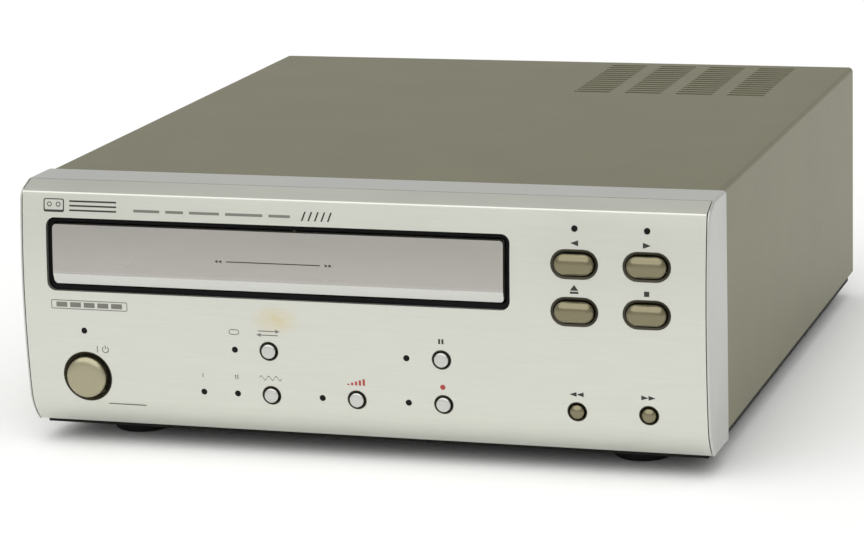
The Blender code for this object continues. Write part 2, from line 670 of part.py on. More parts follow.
def make_front_bezel():
    """The moulding behind the face plate, with the panel's two ends and its flat top."""
    body = [(PANEL_DEPTH, 0.0)] + face_line(0.0, END_CREASE_RADIUS) + [(PANEL_DEPTH, PANEL_HEIGHT)]
    shape = bmesh.new()
    add_outline(shape, body, -HALF_WIDTH, HALF_WIDTH, ALONG_X)
    bezel = add_part("front_bezel", shape, "silver_plastic")

    seat = bmesh.new()
    half = HALF_WIDTH - PLATE_INSET + GAP
    add_outline(seat, ahead_of_face(PLATE_THICKNESS + GAP), -half, half, ALONG_X)
    reshape(bezel, "DIFFERENCE", seat)

    past_back = PANEL_DEPTH + PANEL_WALL + 2 * PAST
    outside = [(past_back, 0.0)] + face_line(0.0) + [(past_back, PANEL_HEIGHT)]
    pocket = bmesh.new()
    half = HALF_WIDTH - END_WALL
    inside = offset_line(outside, PLATE_THICKNESS + GAP + PANEL_WALL)
    add_outline(pocket, inside, -half, half, ALONG_X)
    reshape(bezel, "DIFFERENCE", pocket)

    width = DRAWER_OPENING_WIDTH + 2 * (SURROUND_REACH + GAP)
    height = DRAWER_OPENING_HEIGHT + 2 * (SURROUND_REACH + GAP)
    holes = [rounded_rectangle(DRAWER_X, DRAWER_Z, width, height, DRAWER_CORNER, 2)]
    cap = [side + 2 * CAP_CLEARANCE for side in OBLONG_CAP]
    holes += [stadium(x, z, cap, 6) for x, z in OBLONG_BUTTONS.values()]
    small = SMALL_CAP_RADIUS + CAP_CLEARANCE
    holes += [round_hole(x, z, small, 16) for x, z in SMALL_BUTTONS.values()]
    holes += [round_hole(POWER_X, POWER_ROW, POWER_CAP_RADIUS + CAP_CLEARANCE, 24)]
    lens_hole = INDICATOR_RADIUS + INDICATOR_CLEARANCE
    holes += [round_hole(x, z, lens_hole, 8) for x, z in INDICATORS.values()]
    cut = bmesh.new()
    for hole in holes:
        add_outline(cut, hole, -3 * FACE_BOW, PANEL_DEPTH - 2 * GAP, ALONG_Y)
    reshape(bezel, "DIFFERENCE", cut)


def make_drawer_surround():
    """The black frame seen as a band around the drawer's front; the tray passes through it."""
    depth = (-3 * FACE_BOW, PANEL_DEPTH - PANEL_WALL)
    width = DRAWER_OPENING_WIDTH + 2 * SURROUND_REACH
    height = DRAWER_OPENING_HEIGHT + 2 * SURROUND_REACH
    shape = bmesh.new()
    outside = rounded_rectangle(DRAWER_X, DRAWER_Z, width, height, DRAWER_CORNER, 2)
    add_outline(shape, outside, *depth, ALONG_Y)
    surround = add_part("drawer_surround", shape, "black_plastic")

    cut = bmesh.new()
    width = DRAWER_FRONT_WIDTH + 2 * SLIDE_GAP
    height = DRAWER_FRONT_HEIGHT + 2 * SLIDE_GAP
    inside = rounded_rectangle(DRAWER_X, DRAWER_Z, width, height, 1.0, 2)
    add_outline(cut, inside, depth[0] - PAST, depth[1] + PAST, ALONG_Y)
    reshape(surround, "DIFFERENCE", cut)

    front = bmesh.new()
    add_outline(front, ahead_of_face(PLATE_THICKNESS + GAP), -HALF_WIDTH, HALF_WIDTH, ALONG_X)
    reshape(surround, "DIFFERENCE", front)


def make_indicators():
    """Light pipes: each shows as a small dark lens in the face."""
    for name, (x, z) in INDICATORS.items():
        shape = bmesh.new()
        front = face_y(z) - 0.1
        add_cylinder(shape, (x, front, z), (0, 1, 0), FRONT_BOARD_Y - GAP - front,
                     INDICATOR_RADIUS, 10)
        add_part(name, shape, "indicator")


# ---- buttons ---------------------------------------------------------------------------------

def flange_front(z, reach):
    """Where a flange that reaches this far up and down starts, clear of the curved front wall."""
    wall_front = max(face_y(z - reach), face_y(z + reach))
    return wall_front + PLATE_THICKNESS + GAP + PANEL_WALL + 2 * GAP


def make_oblong_buttons():
    for name, (x, z) in OBLONG_BUTTONS.items():
        front = face_y(z) - OBLONG_PROUD
        back = flange_front(z, OBLONG_CAP[1] / 2 + BUTTON_FLANGE)
        origin = (x, front, z)
        shape = bmesh.new()
        add_outline(shape, stadium(x, z, OBLONG_CAP, 6), front, back + SUNK, ALONG_Y)
        button = add_part(name, shape, "gold_metal", origin)
        edge = button.modifiers.new("Soft edge", "BEVEL")
        edge.width = 0.9 * MM
        edge.segments = 2
        edge.limit_method = "ANGLE"
        edge.angle_limit = math.radians(60)
        rest = bmesh.new()
        flange = [side + 2 * BUTTON_FLANGE for side in OBLONG_CAP]
        add_outline(rest, stadium(x, z, flange, 4), back, back + BUTTON_FLANGE_THICKNESS, ALONG_Y)
        reshape(button, "UNION", rest, origin)
        stem = bmesh.new()
        stem_start = back + BUTTON_FLANGE_THICKNESS / 2
        add_cylinder(stem, (x, stem_start, z), (0, 1, 0), STEM_END - stem_start,
                     BUTTON_STEM_RADIUS, 8)
        reshape(button, "UNION", stem, origin)


def round_button(name, x, z, radius, proud, dome, finish, steps):
    """A round button turned about the y axis: domed cap, retaining flange and stem."""
    front = face_y(z) - proud
    flange = flange_front(z, radius + BUTTON_FLANGE) - front
    stem = STEM_END - front
    cap = [(0, 0), (radius * 0.55, -dome * 0.25), (radius * 0.86, -dome * 0.7)]
    cap.append((radius, -dome - CAP_CLEARANCE))
    body = [(radius, -flange), (radius + BUTTON_FLANGE, -flange),
            (radius + BUTTON_FLANGE, -flange - BUTTON_FLANGE_THICKNESS),
            (BUTTON_STEM_RADIUS, -flange - BUTTON_FLANGE_THICKNESS),
            (BUTTON_STEM_RADIUS, -stem), (0, -stem)]
    add_turned(name, cap + body, finish, (x, front, z), front=True, steps=steps)


def make_round_buttons():
    gold = ("button_rewind", "button_fast_forward")
    for name, (x, z) in SMALL_BUTTONS.items():
        finish = "gold_metal" if name in gold else "button_silver"
        round_button(name, x, z, SMALL_CAP_RADIUS, SMALL_PROUD, 0.5, finish, 16)
    round_button("button_power", POWER_X, POWER_ROW, POWER_CAP_RADIUS, POWER_PROUD, 1.6,
                 "gold_metal", 28)


# ---- casing ----------------------------------------------------------------------------------

def make_top_cover():
    """One bent sheet: top and two sides, with a flange turned down at the rear."""
    radius = COVER_BEND_RADIUS
    right = [(COVER_HALF, COVER_SKIRT)]
    right += arc(COVER_HALF - radius, PANEL_HEIGHT - radius, radius, 0, 90, 4)
    outer = right + [(-x, z) for x, z in right[::-1]]
    inner = offset_line(outer, -SHEET)
    shape = bmesh.new()
    xz_depth = (COVER_FRONT, CASE_BACK)
    add_outline(shape, outer + inner[::-1], *xz_depth, ALONG_Y)
    cover = add_part("top_cover", shape, "cover_paint")

    flange_half = COVER_HALF - 2 * COVER_BEND_RADIUS
    flange = boxes(((-flange_half, CASE_BACK - SHEET, PANEL_HEIGHT - COVER_FLANGE),
                    (flange_half, CASE_BACK - 0.02, PANEL_HEIGHT - SHEET / 2)))
    reshape(cover, "UNION", flange)

    cut = bmesh.new()
    row_pitch = VENT_LENGTH / VENT_ROWS
    for group in range(VENT_GROUPS):
        right_edge = HALF_WIDTH - VENT_END_MARGIN - group * VENT_PITCH
        for row in range(VENT_ROWS):
            back = CASE_BACK - VENT_REAR_MARGIN - row * row_pitch
            add_box(cut, (right_edge - VENT_WIDTH, back - VENT_SLOT, PANEL_HEIGHT - SHEET - PAST),
                    (right_edge, back, PANEL_HEIGHT + PAST))
    for x in SCREW_PLACES:
        add_cylinder(cut, (x, CASE_BACK - SHEET - PAST, SCREW_Z), (0, 1, 0), SHEET + 2 * PAST,
                     SCREW_RADIUS + GAP, 10)
    reshape(cover, "DIFFERENCE", cut)


def make_bottom_chassis():
    """Sheet tray under everything, with turned-up sides, that reaches under the front panel."""
    half, back = INNER_HALF, CHASSIS_BACK
    front = PANEL_DEPTH - CHASSIS_LIP
    shape = boxes(((-half, front, CHASSIS_UNDERSIDE), (half, back, CHASSIS_TOP)))
    chassis = add_part("bottom_chassis", shape, "chassis_steel")
    sunk = CHASSIS_TOP - SHEET / 2
    top = CHASSIS_TOP + CHASSIS_FLANGE
    sides = boxes(((-half, COVER_FRONT, sunk), (-half + SHEET, back, top)),
                  ((half - SHEET, COVER_FRONT, sunk), (half, back, top)))
    reshape(chassis, "UNION", sides)
    front_top, rear_top = CHASSIS_TOP + CHASSIS_FRONT_FLANGE, CHASSIS_TOP + CHASSIS_REAR_FLANGE
    ends = boxes(((-half, COVER_FRONT, sunk), (half, COVER_FRONT + SHEET, front_top)),
                 ((-half, back - SHEET, sunk), (half, back, rear_top)))
    reshape(chassis, "UNION", ends)
    vents = bmesh.new()
    right = HALF_WIDTH - CHASSIS_VENT_END_MARGIN
    for row in range(CHASSIS_VENT_ROWS):
        far = CASE_BACK - CHASSIS_VENT_REAR_MARGIN - row * CHASSIS_VENT_PITCH
        low = (right - CHASSIS_VENT_WIDTH, far - CHASSIS_VENT_SLOT, CHASSIS_UNDERSIDE - PAST)
        add_box(vents, low, (right, far, CHASSIS_TOP + PAST))
    reshape(chassis, "DIFFERENCE", vents)


def make_rear_panel():
    shape = boxes(((-INNER_HALF, REAR_PANEL_BACK - SHEET, 0.0),
                   (INNER_HALF, REAR_PANEL_BACK, PANEL_HEIGHT - SHEET - GAP)))
    panel = add_part("rear_panel", shape, "zinc_steel")
    cut = bmesh.new()
    through = SHEET + 2 * PAST
    start = REAR_PANEL_BACK - SHEET - PAST
    for x, z in jack_places():
        add_cylinder(cut, (x, start, z), (0, 1, 0), through, JACK_RADIUS + GAP, 16)
    for x in SCREW_PLACES:
        add_cylinder(cut, (x, start, SCREW_Z), (0, 1, 0), through, SCREW_RADIUS + GAP, 10)
    add_outline(cut, stadium(INLET_X, INLET_Z, INLET_OPENING, 6), start, start + through, ALONG_Y)
    reshape(panel, "DIFFERENCE", cut)


def jack_places():
    """Two pairs of phono jacks, recording in and line out, above each other."""
    return [(JACK_X + across * JACK_PITCH, JACK_Z + up * JACK_PITCH)
            for across in (0, 1) for up in (0, 1)]


def make_jack_block():
    reach = JACK_BLOCK_MARGIN
    back = REAR_PANEL_BACK - SHEET - GAP
    low = (JACK_X - reach, back - JACK_BLOCK_DEPTH, JACK_Z - reach)
    high = (JACK_X + JACK_PITCH + reach, back, JACK_Z + JACK_PITCH + reach)
    block = add_part("jack_block", boxes((low, high)), "black_plastic")
    shells = bmesh.new()
    length = REAR_PANEL_BACK + JACK_REACH - back + SUNK
    for x, z in jack_places():
        add_cylinder(shells, (x, back - SUNK, z), (0, 1, 0), length, JACK_RADIUS, 16)
    reshape(block, "UNION", shells)
    bores = bmesh.new()
    for x, z in jack_places():
        start = (x, REAR_PANEL_BACK, z)
        add_cylinder(bores, start, (0, 1, 0), JACK_REACH + PAST, JACK_BORE_RADIUS, 8)
    reshape(block, "DIFFERENCE", bores)


def make_mains_inlet():
    """A two-pin figure-of-eight socket."""
    width, depth, height = INLET_BODY
    back = REAR_PANEL_BACK - SHEET - GAP
    low = (INLET_X - width / 2, back - depth, INLET_Z - height / 2)
    high = (INLET_X + width / 2, back, INLET_Z + height / 2)
    inlet = add_part("mains_inlet", boxes((low, high)), "black_plastic")
    throat = bmesh.new()
    opening = stadium(INLET_X, INLET_Z, [side - 2 * INLET_RIM for side in INLET_OPENING], 6)
    add_outline(throat, opening, back - INLET_THROAT, back + PAST, ALONG_Y)
    reshape(inlet, "DIFFERENCE", throat)
    pins = bmesh.new()
    for side in (-1, 1):
        start = (INLET_X + side * INLET_PIN_OFFSET, back - INLET_THROAT - SUNK, INLET_Z)
        add_cylinder(pins, start, (0, 1, 0), INLET_PIN_LENGTH + SUNK, INLET_PIN_RADIUS, 8)
    reshape(inlet, "UNION", pins)


def make_feet():
    rear_y = CASE_BACK - FOOT_REAR_MARGIN
    places = {"foot_front_left": (-1, FOOT_FRONT_Y), "foot_front_right": (1, FOOT_FRONT_Y),
              "foot_rear_left": (-1, rear_y), "foot_rear_right": (1, rear_y)}
    top = CHASSIS_UNDERSIDE - GAP
    height = top + GROUND_CLEARANCE
    across, up = FOOT_CHAMFER
    profile = [(0, height), (FOOT_RADIUS, height), (FOOT_RADIUS, up), (FOOT_RADIUS - across, 0), (0, 0)]
    for name, (side, y) in places.items():
        add_turned(name, profile, "rubber", (side * FOOT_SPACING_X / 2, y, -GROUND_CLEARANCE))


def make_cover_screws():
    names = ("cover_screw_left", "cover_screw_middle", "cover_screw_right")
    head = SCREW_HEAD_RADIUS
    seat = CASE_BACK + GAP
    tip = seat + SCREW_HEAD_HEIGHT
    profile = [(0, SCREW_HEAD_HEIGHT), (head * 0.6, SCREW_HEAD_HEIGHT * 0.9), (head, GAP),
               (head, 0), (SCREW_RADIUS, 0), (SCREW_RADIUS, -SCREW_SHANK), (0, -SCREW_SHANK)]
    length, width, depth = SCREW_RECESS
    for name, x in zip(names, SCREW_PLACES):
        screw = add_turned(name, profile, "chassis_steel", (x, seat, SCREW_Z), steps=14)
        screw.rotation_euler = (math.radians(-90), 0, 0)
        for across, up in ((length / 2, width / 2), (width / 2, length / 2)):
            slot = boxes(((x - across, tip - depth, SCREW_Z - up), (x + across, tip + PAST, SCREW_Z + up)))
            reshape(screw, "DIFFERENCE", slot)


# ---- cassette drawer -------------------------------------------------------------------------

def make_drawer_front():
    low = OPENING_BOTTOM + DRAWER_REVEAL
    high = OPENING_TOP - DRAWER_REVEAL
    chamfer_top = low + DRAWER_CHAMFER
    heights = [chamfer_top + (high - chamfer_top) * i / 4 for i in range(5)]
    profile = [(face_y(low) + DRAWER_CHAMFER_DEPTH, low)] + [(face_y(z), z) for z in heights]
    profile += [(TRAY_FRONT - GAP, high), (TRAY_FRONT - GAP, low)]
    half = DRAWER_FRONT_WIDTH / 2
    shape = bmesh.new()
    add_outline(shape, profile, DRAWER_X - half, DRAWER_X + half, ALONG_X)
    front = add_part("drawer_front", shape, "drawer_metal")
    rounding = bmesh.new()
    outline = rounded_rectangle(DRAWER_X, DRAWER_Z, DRAWER_FRONT_WIDTH, DRAWER_FRONT_HEIGHT, 1.2, 3)
    add_outline(rounding, outline, -3 * FACE_BOW, PANEL_DEPTH, ALONG_Y)
    reshape(front, "INTERSECT", rounding)


def tray_plan():
    """The tray seen from above: slotted from behind, two arms, the right one toothed as a rack."""
    left, right = DRAWER_X - TRAY_HALF, RACK_PITCH_X + TOOTH_ADDENDUM
    root = RACK_PITCH_X - TOOTH_DEDENDUM
    at_pitch = (PITCH - TOOTH_PLAY) / 4
    tip_half = at_pitch - 0.3 * TOOTH_ADDENDUM
    root_half = at_pitch + 0.3 * TOOTH_DEDENDUM
    points = [(left, TRAY_FRONT), (right, TRAY_FRONT), (right, ARM_FRONT), (root, ARM_FRONT)]
    first = math.ceil((ARM_FRONT + root_half - GEAR_Y) / PITCH)
    last = math.floor((ARM_BACK - root_half - GEAR_Y) / PITCH)
    for tooth in range(first, last + 1):
        y = GEAR_Y + tooth * PITCH
        points += [(root, y - root_half), (right, y - tip_half)]
        points += [(right, y + tip_half), (root, y + root_half)]
    slot = TRAY_SLOT_WIDTH / 2
    slot_front = HUB_Y - SPINDLE_DISC_RADIUS - SLOT_BEYOND_DISC
    return points + [
        (root, ARM_BACK), (right - TRAY_ARM_WIDTH, ARM_BACK), (right - TRAY_ARM_WIDTH, TRAY_BACK),
        (DRAWER_X + slot, TRAY_BACK), (DRAWER_X + slot, slot_front),
        (DRAWER_X - slot, slot_front), (DRAWER_X - slot, TRAY_BACK),
        (left + TRAY_ARM_WIDTH, TRAY_BACK), (left + TRAY_ARM_WIDTH, ARM_BACK), (left, ARM_BACK)]


def make_drawer_tray():
    """Open tray for a flat cassette, slotted from behind for the mechanism that rises into it."""
    top = TRAY_BOTTOM + TRAY_HEIGHT
    floor_top = TRAY_BOTTOM + TRAY_FLOOR
    shape = bmesh.new()
    add_outline(shape, tray_plan(), TRAY_BOTTOM, top, ALONG_Z)
    tray = add_part("drawer_tray", shape, "black_plastic")
    past_top = top + PAST
    hollows = [((DRAWER_X - WELL_HALF, WELL_FRONT, floor_top), (DRAWER_X + WELL_HALF, WELL_BACK, past_top))]
    for side in (-1, 1):
        near, far = sorted((DRAWER_X + side * (WELL_HALF + TRAY_WALL),
                            DRAWER_X + side * (TRAY_HALF - TRAY_WALL)))
        hollows.append(((near, WELL_FRONT, floor_top), (far, ARM_FRONT - TRAY_WALL, past_top)))
    reshape(tray, "DIFFERENCE", boxes(*hollows))
    reach = TRAY_HALF + PAST
    above_arms = boxes(((DRAWER_X - reach, ARM_FRONT, TRAY_BOTTOM + TRAY_ARM_HEIGHT),
                        (DRAWER_X + reach, ARM_BACK + PAST, past_top)))
    reshape(tray, "DIFFERENCE", above_arms)


def make_drawer_rails():
    """Fixed guides under and beside the tray; the right one is open where the gear reaches in."""
    top = TRAY_BOTTOM - GAP
    ledge_bottom = top - RAIL_FLOOR
    for name, side in (("drawer_rail_left", -1), ("drawer_rail_right", 1)):
        edge = DRAWER_X + side * (TRAY_HALF + SLIDE_GAP)
        outer = edge + side * RAIL_WALL
        inner = DRAWER_X + side * (TRAY_HALF - RAIL_LEDGE)
        near, far = sorted((inner, outer))
        shape = boxes(((near, RAIL_FRONT, ledge_bottom), (far, RAIL_BACK, top)))
        rail = add_part(name, shape, "white_plastic")
        near, far = sorted((edge, outer))
        wall = boxes(((near, RAIL_FRONT, ledge_bottom + SUNK), (far, RAIL_BACK, top + RAIL_HEIGHT)))
        reshape(rail, "UNION", wall)
        leg_top = top - RAIL_FLOOR / 2
        front, back = RAIL_FRONT + RAIL_LEG_INSET, RAIL_BACK - RAIL_LEG_INSET
        legs = boxes(((near, front, 0.0), (far, front + RAIL_LEG, leg_top)),
                     ((near, back - RAIL_LEG, 0.0), (far, back, leg_top)))
        reshape(rail, "UNION", legs)
        if side > 0:
            room = GEAR_RADIUS + RAIL_WINDOW_MARGIN
            window = boxes(((near - PAST, GEAR_Y - room, top - 0.01),
                            (far + PAST, GEAR_Y + room, top + RAIL_HEIGHT + PAST)))
            reshape(rail, "DIFFERENCE", window)


def gear_outline():
    """Straight-flanked teeth, with a space facing the rack at rest."""
    at_pitch = (PITCH - TOOTH_PLAY) / 4
    tip_half = at_pitch - 0.3 * TOOTH_ADDENDUM
    root_half = at_pitch + 0.3 * TOOTH_DEDENDUM
    tip, root = GEAR_RADIUS + TOOTH_ADDENDUM, GEAR_RADIUS - TOOTH_DEDENDUM
    points = []
    for tooth in range(GEAR_TEETH):
        middle = 2 * math.pi * (tooth + 0.5) / GEAR_TEETH
        for radius, half, side in ((root, root_half, -1), (tip, tip_half, -1),
                                   (tip, tip_half, 1), (root, root_half, 1)):
            angle = middle + side * half / radius
            points.append((GEAR_X + radius * math.cos(angle), GEAR_Y + radius * math.sin(angle)))
    return points


def make_loading_drive():
    bottom = TRAY_BOTTOM + 2 * GAP
    shape = bmesh.new()
    add_outline(shape, gear_outline(), bottom, bottom + GEAR_THICKNESS, ALONG_Z)
    origin = (GEAR_X, GEAR_Y, bottom)
    gear = add_part("loading_gear", shape, "white_plastic", origin)
    bore = bmesh.new()
    add_cylinder(bore, (GEAR_X, GEAR_Y, bottom - PAST), (0, 0, 1), GEAR_THICKNESS + 2 * PAST,
                 LOADING_SHAFT_RADIUS + GAP, 12)
    reshape(gear, "DIFFERENCE", bore, origin)

    box_top = bottom - LOADING_BOX_GAP
    box_bottom = box_top - LOADING_GEARBOX_HEIGHT
    left = GEAR_X - LOADING_MOTOR_RADIUS
    right = left + LOADING_BOX_WIDTH
    front, back = GEAR_Y - LOADING_BOX_LENGTH / 2, GEAR_Y + LOADING_BOX_LENGTH / 2
    box = boxes(((left, front, box_bottom), (right, back, box_top)))
    motor = add_part("loading_motor", box, "transformer_core")
    more = bmesh.new()
    add_cylinder(more, (GEAR_X + LOADING_MOTOR_SHIFT, GEAR_Y, box_bottom + SUNK), (0, 0, -1),
                 LOADING_MOTOR_LENGTH + SUNK, LOADING_MOTOR_RADIUS, 20)
    add_cylinder(more, (GEAR_X, GEAR_Y, box_top - SUNK), (0, 0, 1),
                 GEAR_THICKNESS + LOADING_SHAFT_RISE + SUNK, LOADING_SHAFT_RADIUS, 10)
    across, along = LOADING_LEG_INSET
    leg_right = right - across
    add_box(more, (leg_right - LOADING_LEG, front + along, 0.0), (leg_right, back - along, box_bottom + SUNK))
    reshape(motor, "UNION", more)


# ---- tape mechanism --------------------------------------------------------------------------

def mech_posts():
    return [(DRAWER_X + side * MECH_POST_X, y)
            for side in (-1, 1) for y in (MECH_FRONT + MECH_POST_INSET, MECH_BACK - MECH_POST_INSET)]


def make_mechanism_frame():
    """Fixed foot plate with the four posts that the lifting plate rides on."""
    shape = boxes(((DRAWER_X - MECH_HALF_WIDTH, MECH_FRONT, 0.0),
                   (DRAWER_X + MECH_HALF_WIDTH, MECH_BACK, MECH_PLATE)))
    frame = add_part("mechanism_frame", shape, "zinc_steel")
    posts = bmesh.new()
    start = MECH_PLATE / 2
    for x, y in mech_posts():
        add_cylinder(posts, (x, y, start), (0, 0, 1), TRAY_BOTTOM - MECH_POST_CLEARANCE - GAP - start,
                     MECH_POST_RADIUS, 12)
    reshape(frame, "UNION", posts)
    left, right = MECH_WINDOW
    window = boxes(((DRAWER_X + left, MECH_FRONT + MECH_WINDOW_INSET, -PAST),
                    (DRAWER_X + right, MECH_BACK - MECH_WINDOW_INSET, MECH_PLATE + PAST)))
    reshape(frame, "DIFFERENCE", window)


def pinch_places(parked=True):
    """Each arm's side, pivot and roller centre."""
    reach_x = PINCH_PIVOT_X - CAPSTAN_SPACING / 2
    nip_y = CAPSTAN_Y + CAPSTAN_RADIUS + PINCH_NIP + PINCH_RADIUS
    reach_y = PINCH_PIVOT_Y - nip_y
    swing = math.radians(PINCH_SWING) if parked else 0.0
    back_x = reach_x * math.cos(swing) + reach_y * math.sin(swing)
    back_y = reach_y * math.cos(swing) - reach_x * math.sin(swing)
    places = []
    for side in (-1, 1):
        pivot = (DRAWER_X + side * PINCH_PIVOT_X, PINCH_PIVOT_Y)
        places.append((side, pivot, (pivot[0] - side * back_x, pivot[1] - back_y)))
    return places


def make_mechanism_base():
    """The lifting plate: it carries hubs, flywheels, head plate, pinch arms and capstan motor."""
    low = MECH_TOP - MECH_PLATE
    shape = boxes(((DRAWER_X - MECH_HALF_WIDTH, MECH_FRONT, low),
                   (DRAWER_X + MECH_HALF_WIDTH, MECH_BACK, MECH_TOP)))
    base = add_part("mechanism_base", shape, "zinc_steel")

    more = bmesh.new()
    sunk = MECH_TOP - MECH_PLATE / 2
    guide_near, guide_far = HEAD_GUIDE
    guide_front = HEAD_PLATE_FRONT - HEAD_TRAVEL + HEAD_GUIDE_INSET
    guide_back = HEAD_PLATE_FRONT + HEAD_PLATE_LENGTH - HEAD_GUIDE_INSET
    for side in (-1, 1):
        near, far = sorted((DRAWER_X + side * guide_near, DRAWER_X + side * guide_far))
        add_box(more, (near, guide_front, sunk), (far, guide_back, HEAD_PLATE_Z - GAP))
    for side, pivot, roller in pinch_places():
        boss = PIN_RADIUS + PIVOT_BOSS
        add_cylinder(more, (*pivot, sunk), (0, 0, 1), HEAD_PLATE_Z - GAP - sunk, boss, 12)
    reach, half = MOTOR_SHELF
    shelf_low = SHELF_TOP - MECH_PLATE
    wall = MOTOR_X + PULLEY_RADIUS + BELT_THICKNESS + MOTOR_SHELF_WALL
    add_box(more, (wall, MOTOR_Y - half, shelf_low), (wall + MECH_PLATE, MOTOR_Y + half, sunk))
    reshape(base, "UNION", more)

    pins = bmesh.new()
    for side, pivot, roller in pinch_places():
        start = HEAD_PLATE_Z - GAP - SUNK
        add_cylinder(pins, (*pivot, start), (0, 0, 1),
                     HEAD_PLATE_Z + PINCH_ARM_THICKNESS + PIVOT_RISE - start, PIN_RADIUS, 10)
    add_box(pins, (MOTOR_X - reach, MOTOR_Y - half + 0.1, shelf_low + 0.01),
            (wall + MECH_PLATE / 2, MOTOR_Y + half - 0.1, SHELF_TOP))
    reshape(base, "UNION", pins)

    holes = bmesh.new()
    through = MECH_PLATE + 2 * PAST
    for x, y in mech_posts():
        add_cylinder(holes, (x, y, low - PAST), (0, 0, 1), through, MECH_POST_RADIUS + SLIDE_GAP, 12)
    for side in (-1, 1):
        add_cylinder(holes, (DRAWER_X + side * CAPSTAN_SPACING / 2, CAPSTAN_Y, low - PAST), (0, 0, 1),
                     through, CAPSTAN_RADIUS + GAP, 10)
        add_cylinder(holes, (DRAWER_X + side * HUB_SPACING / 2, HUB_Y, low - PAST), (0, 0, 1),
                     through, SPINDLE_RADIUS / 2 + GAP, 10)
    add_cylinder(holes, (MOTOR_X, MOTOR_Y, shelf_low - PAST), (0, 0, 1), through, PIN_RADIUS + GAP, 10)
    reshape(base, "DIFFERENCE", holes)


def make_reel_hubs():
    """Turned hubs that drive the cassette's reels."""
    rise = SPINDLE_RISE
    disc_low, disc_high = GAP * 2, SPINDLE_DISC_TOP
    stub, stub_end = SPINDLE_RADIUS / 2, -MECH_PLATE - HUB_STUB_DROP
    thickness, stand_out = SPINDLE_FIN
    profile = [(0, rise), (SPINDLE_RADIUS * 0.5, rise - 0.4), (SPINDLE_RADIUS, rise - 2.5),
               (SPINDLE_RADIUS, disc_high + 2.0), (SPINDLE_RADIUS + 1.6, disc_high),
               (SPINDLE_DISC_RADIUS, disc_high), (SPINDLE_DISC_RADIUS, disc_low), (stub, disc_low),
               (stub, stub_end), (0, stub_end)]
    for name, side in (("reel_hub_left", -1), ("reel_hub_right", 1)):
        x = DRAWER_X + side * HUB_SPACING / 2
        hub = add_turned(name, profile, "white_plastic", (x, HUB_Y, MECH_TOP), steps=16)
        fins = bmesh.new()
        for turn in range(3):
            fin = bmesh.new()
            add_box(fin, (SPINDLE_RADIUS / 2, -thickness / 2, MECH_TOP + disc_high + 3.0),
                    (SPINDLE_RADIUS + stand_out, thickness / 2, MECH_TOP + rise - 3.0))
            bmesh.ops.rotate(fin, matrix=Matrix.Rotation(turn * 2 * math.pi / 3, 3, "Z"), verts=fin.verts)
            bmesh.ops.translate(fin, vec=(x, HUB_Y, 0), verts=fin.verts)
            blade = bpy.data.meshes.new("fin")
            fin.to_mesh(blade)
            fin.free()
            fins.from_mesh(blade)
        reshape(hub, "UNION", fins)


def make_flywheels():
    """Each flywheel and its capstan shaft turn as one piece."""
    top = CAPSTAN_RISE
    disc_top = FLYWHEEL_TOP - MECH_TOP
    disc_bottom = disc_top - FLYWHEEL_THICKNESS
    boss, boss_height = FLYWHEEL_BOSS
    hollow = disc_bottom + FLYWHEEL_HOLLOW
    inner = FLYWHEEL_RADIUS - FLYWHEEL_RIM
    profile = [(0, top), (CAPSTAN_RADIUS, top - 0.4), (CAPSTAN_RADIUS, disc_top + boss_height),
               (boss, disc_top + boss_height), (boss, disc_top), (FLYWHEEL_RADIUS, disc_top),
               (FLYWHEEL_RADIUS, disc_bottom), (inner, disc_bottom), (inner - 1.0, hollow), (0, hollow)]
    for name, side in (("flywheel_left", -1), ("flywheel_right", 1)):
        add_turned(name, profile, "zinc_steel",
                   (DRAWER_X + side * CAPSTAN_SPACING / 2, CAPSTAN_Y, MECH_TOP), steps=28)


def belt_wheels():
    """Centre, radius and turning sense of the wheels that the belt passes, in its own order."""
    left = (DRAWER_X - CAPSTAN_SPACING / 2, CAPSTAN_Y)
    right = (DRAWER_X + CAPSTAN_SPACING / 2, CAPSTAN_Y)
    motor = (MOTOR_X, MOTOR_Y)
    return [(left, FLYWHEEL_RADIUS, 1), (right, FLYWHEEL_RADIUS, -1), (motor, PULLEY_RADIUS, 1)]


def belt_line(outward):
    """The closed belt line, moved outward from its middle: arcs joined by common tangents."""
    wheels = belt_wheels()
    count = len(wheels)
    middles = [radius + GAP + BELT_THICKNESS / 2 for centre, radius, sense in wheels]
    headings = []
    for i in range(count):
        here, ahead = wheels[i], wheels[(i + 1) % count]
        span = Vector(ahead[0]) - Vector(here[0])
        shift = ahead[2] * middles[(i + 1) % count] - here[2] * middles[i]
        headings.append(math.atan2(span.y, span.x) - math.asin(shift / span.length))
    points = []
    for i, (centre, wheel_radius, sense) in enumerate(wheels):
        radius = middles[i] + sense * outward
        start = headings[i - 1] - sense * math.pi / 2
        end = headings[i] - sense * math.pi / 2
        turn = (sense * (end - start)) % (2 * math.pi)
        steps = max(3, math.ceil(turn * 9 / math.pi))
        for step in range(steps + 1):
            angle = start + sense * turn * step / steps
            points.append((centre[0] + radius * math.cos(angle),
                           centre[1] + radius * math.sin(angle)))
    return points


def make_drive_belt():
    low, high = BELT_Z - BELT_WIDTH / 2, BELT_Z + BELT_WIDTH / 2
    shape = bmesh.new()
    add_outline(shape, belt_line(BELT_THICKNESS / 2), low, high, ALONG_Z)
    belt = add_part("drive_belt", shape, "rubber")
    inside = bmesh.new()
    add_outline(inside, belt_line(-BELT_THICKNESS / 2), low - PAST, high + PAST, ALONG_Z)
    reshape(belt, "DIFFERENCE", inside)


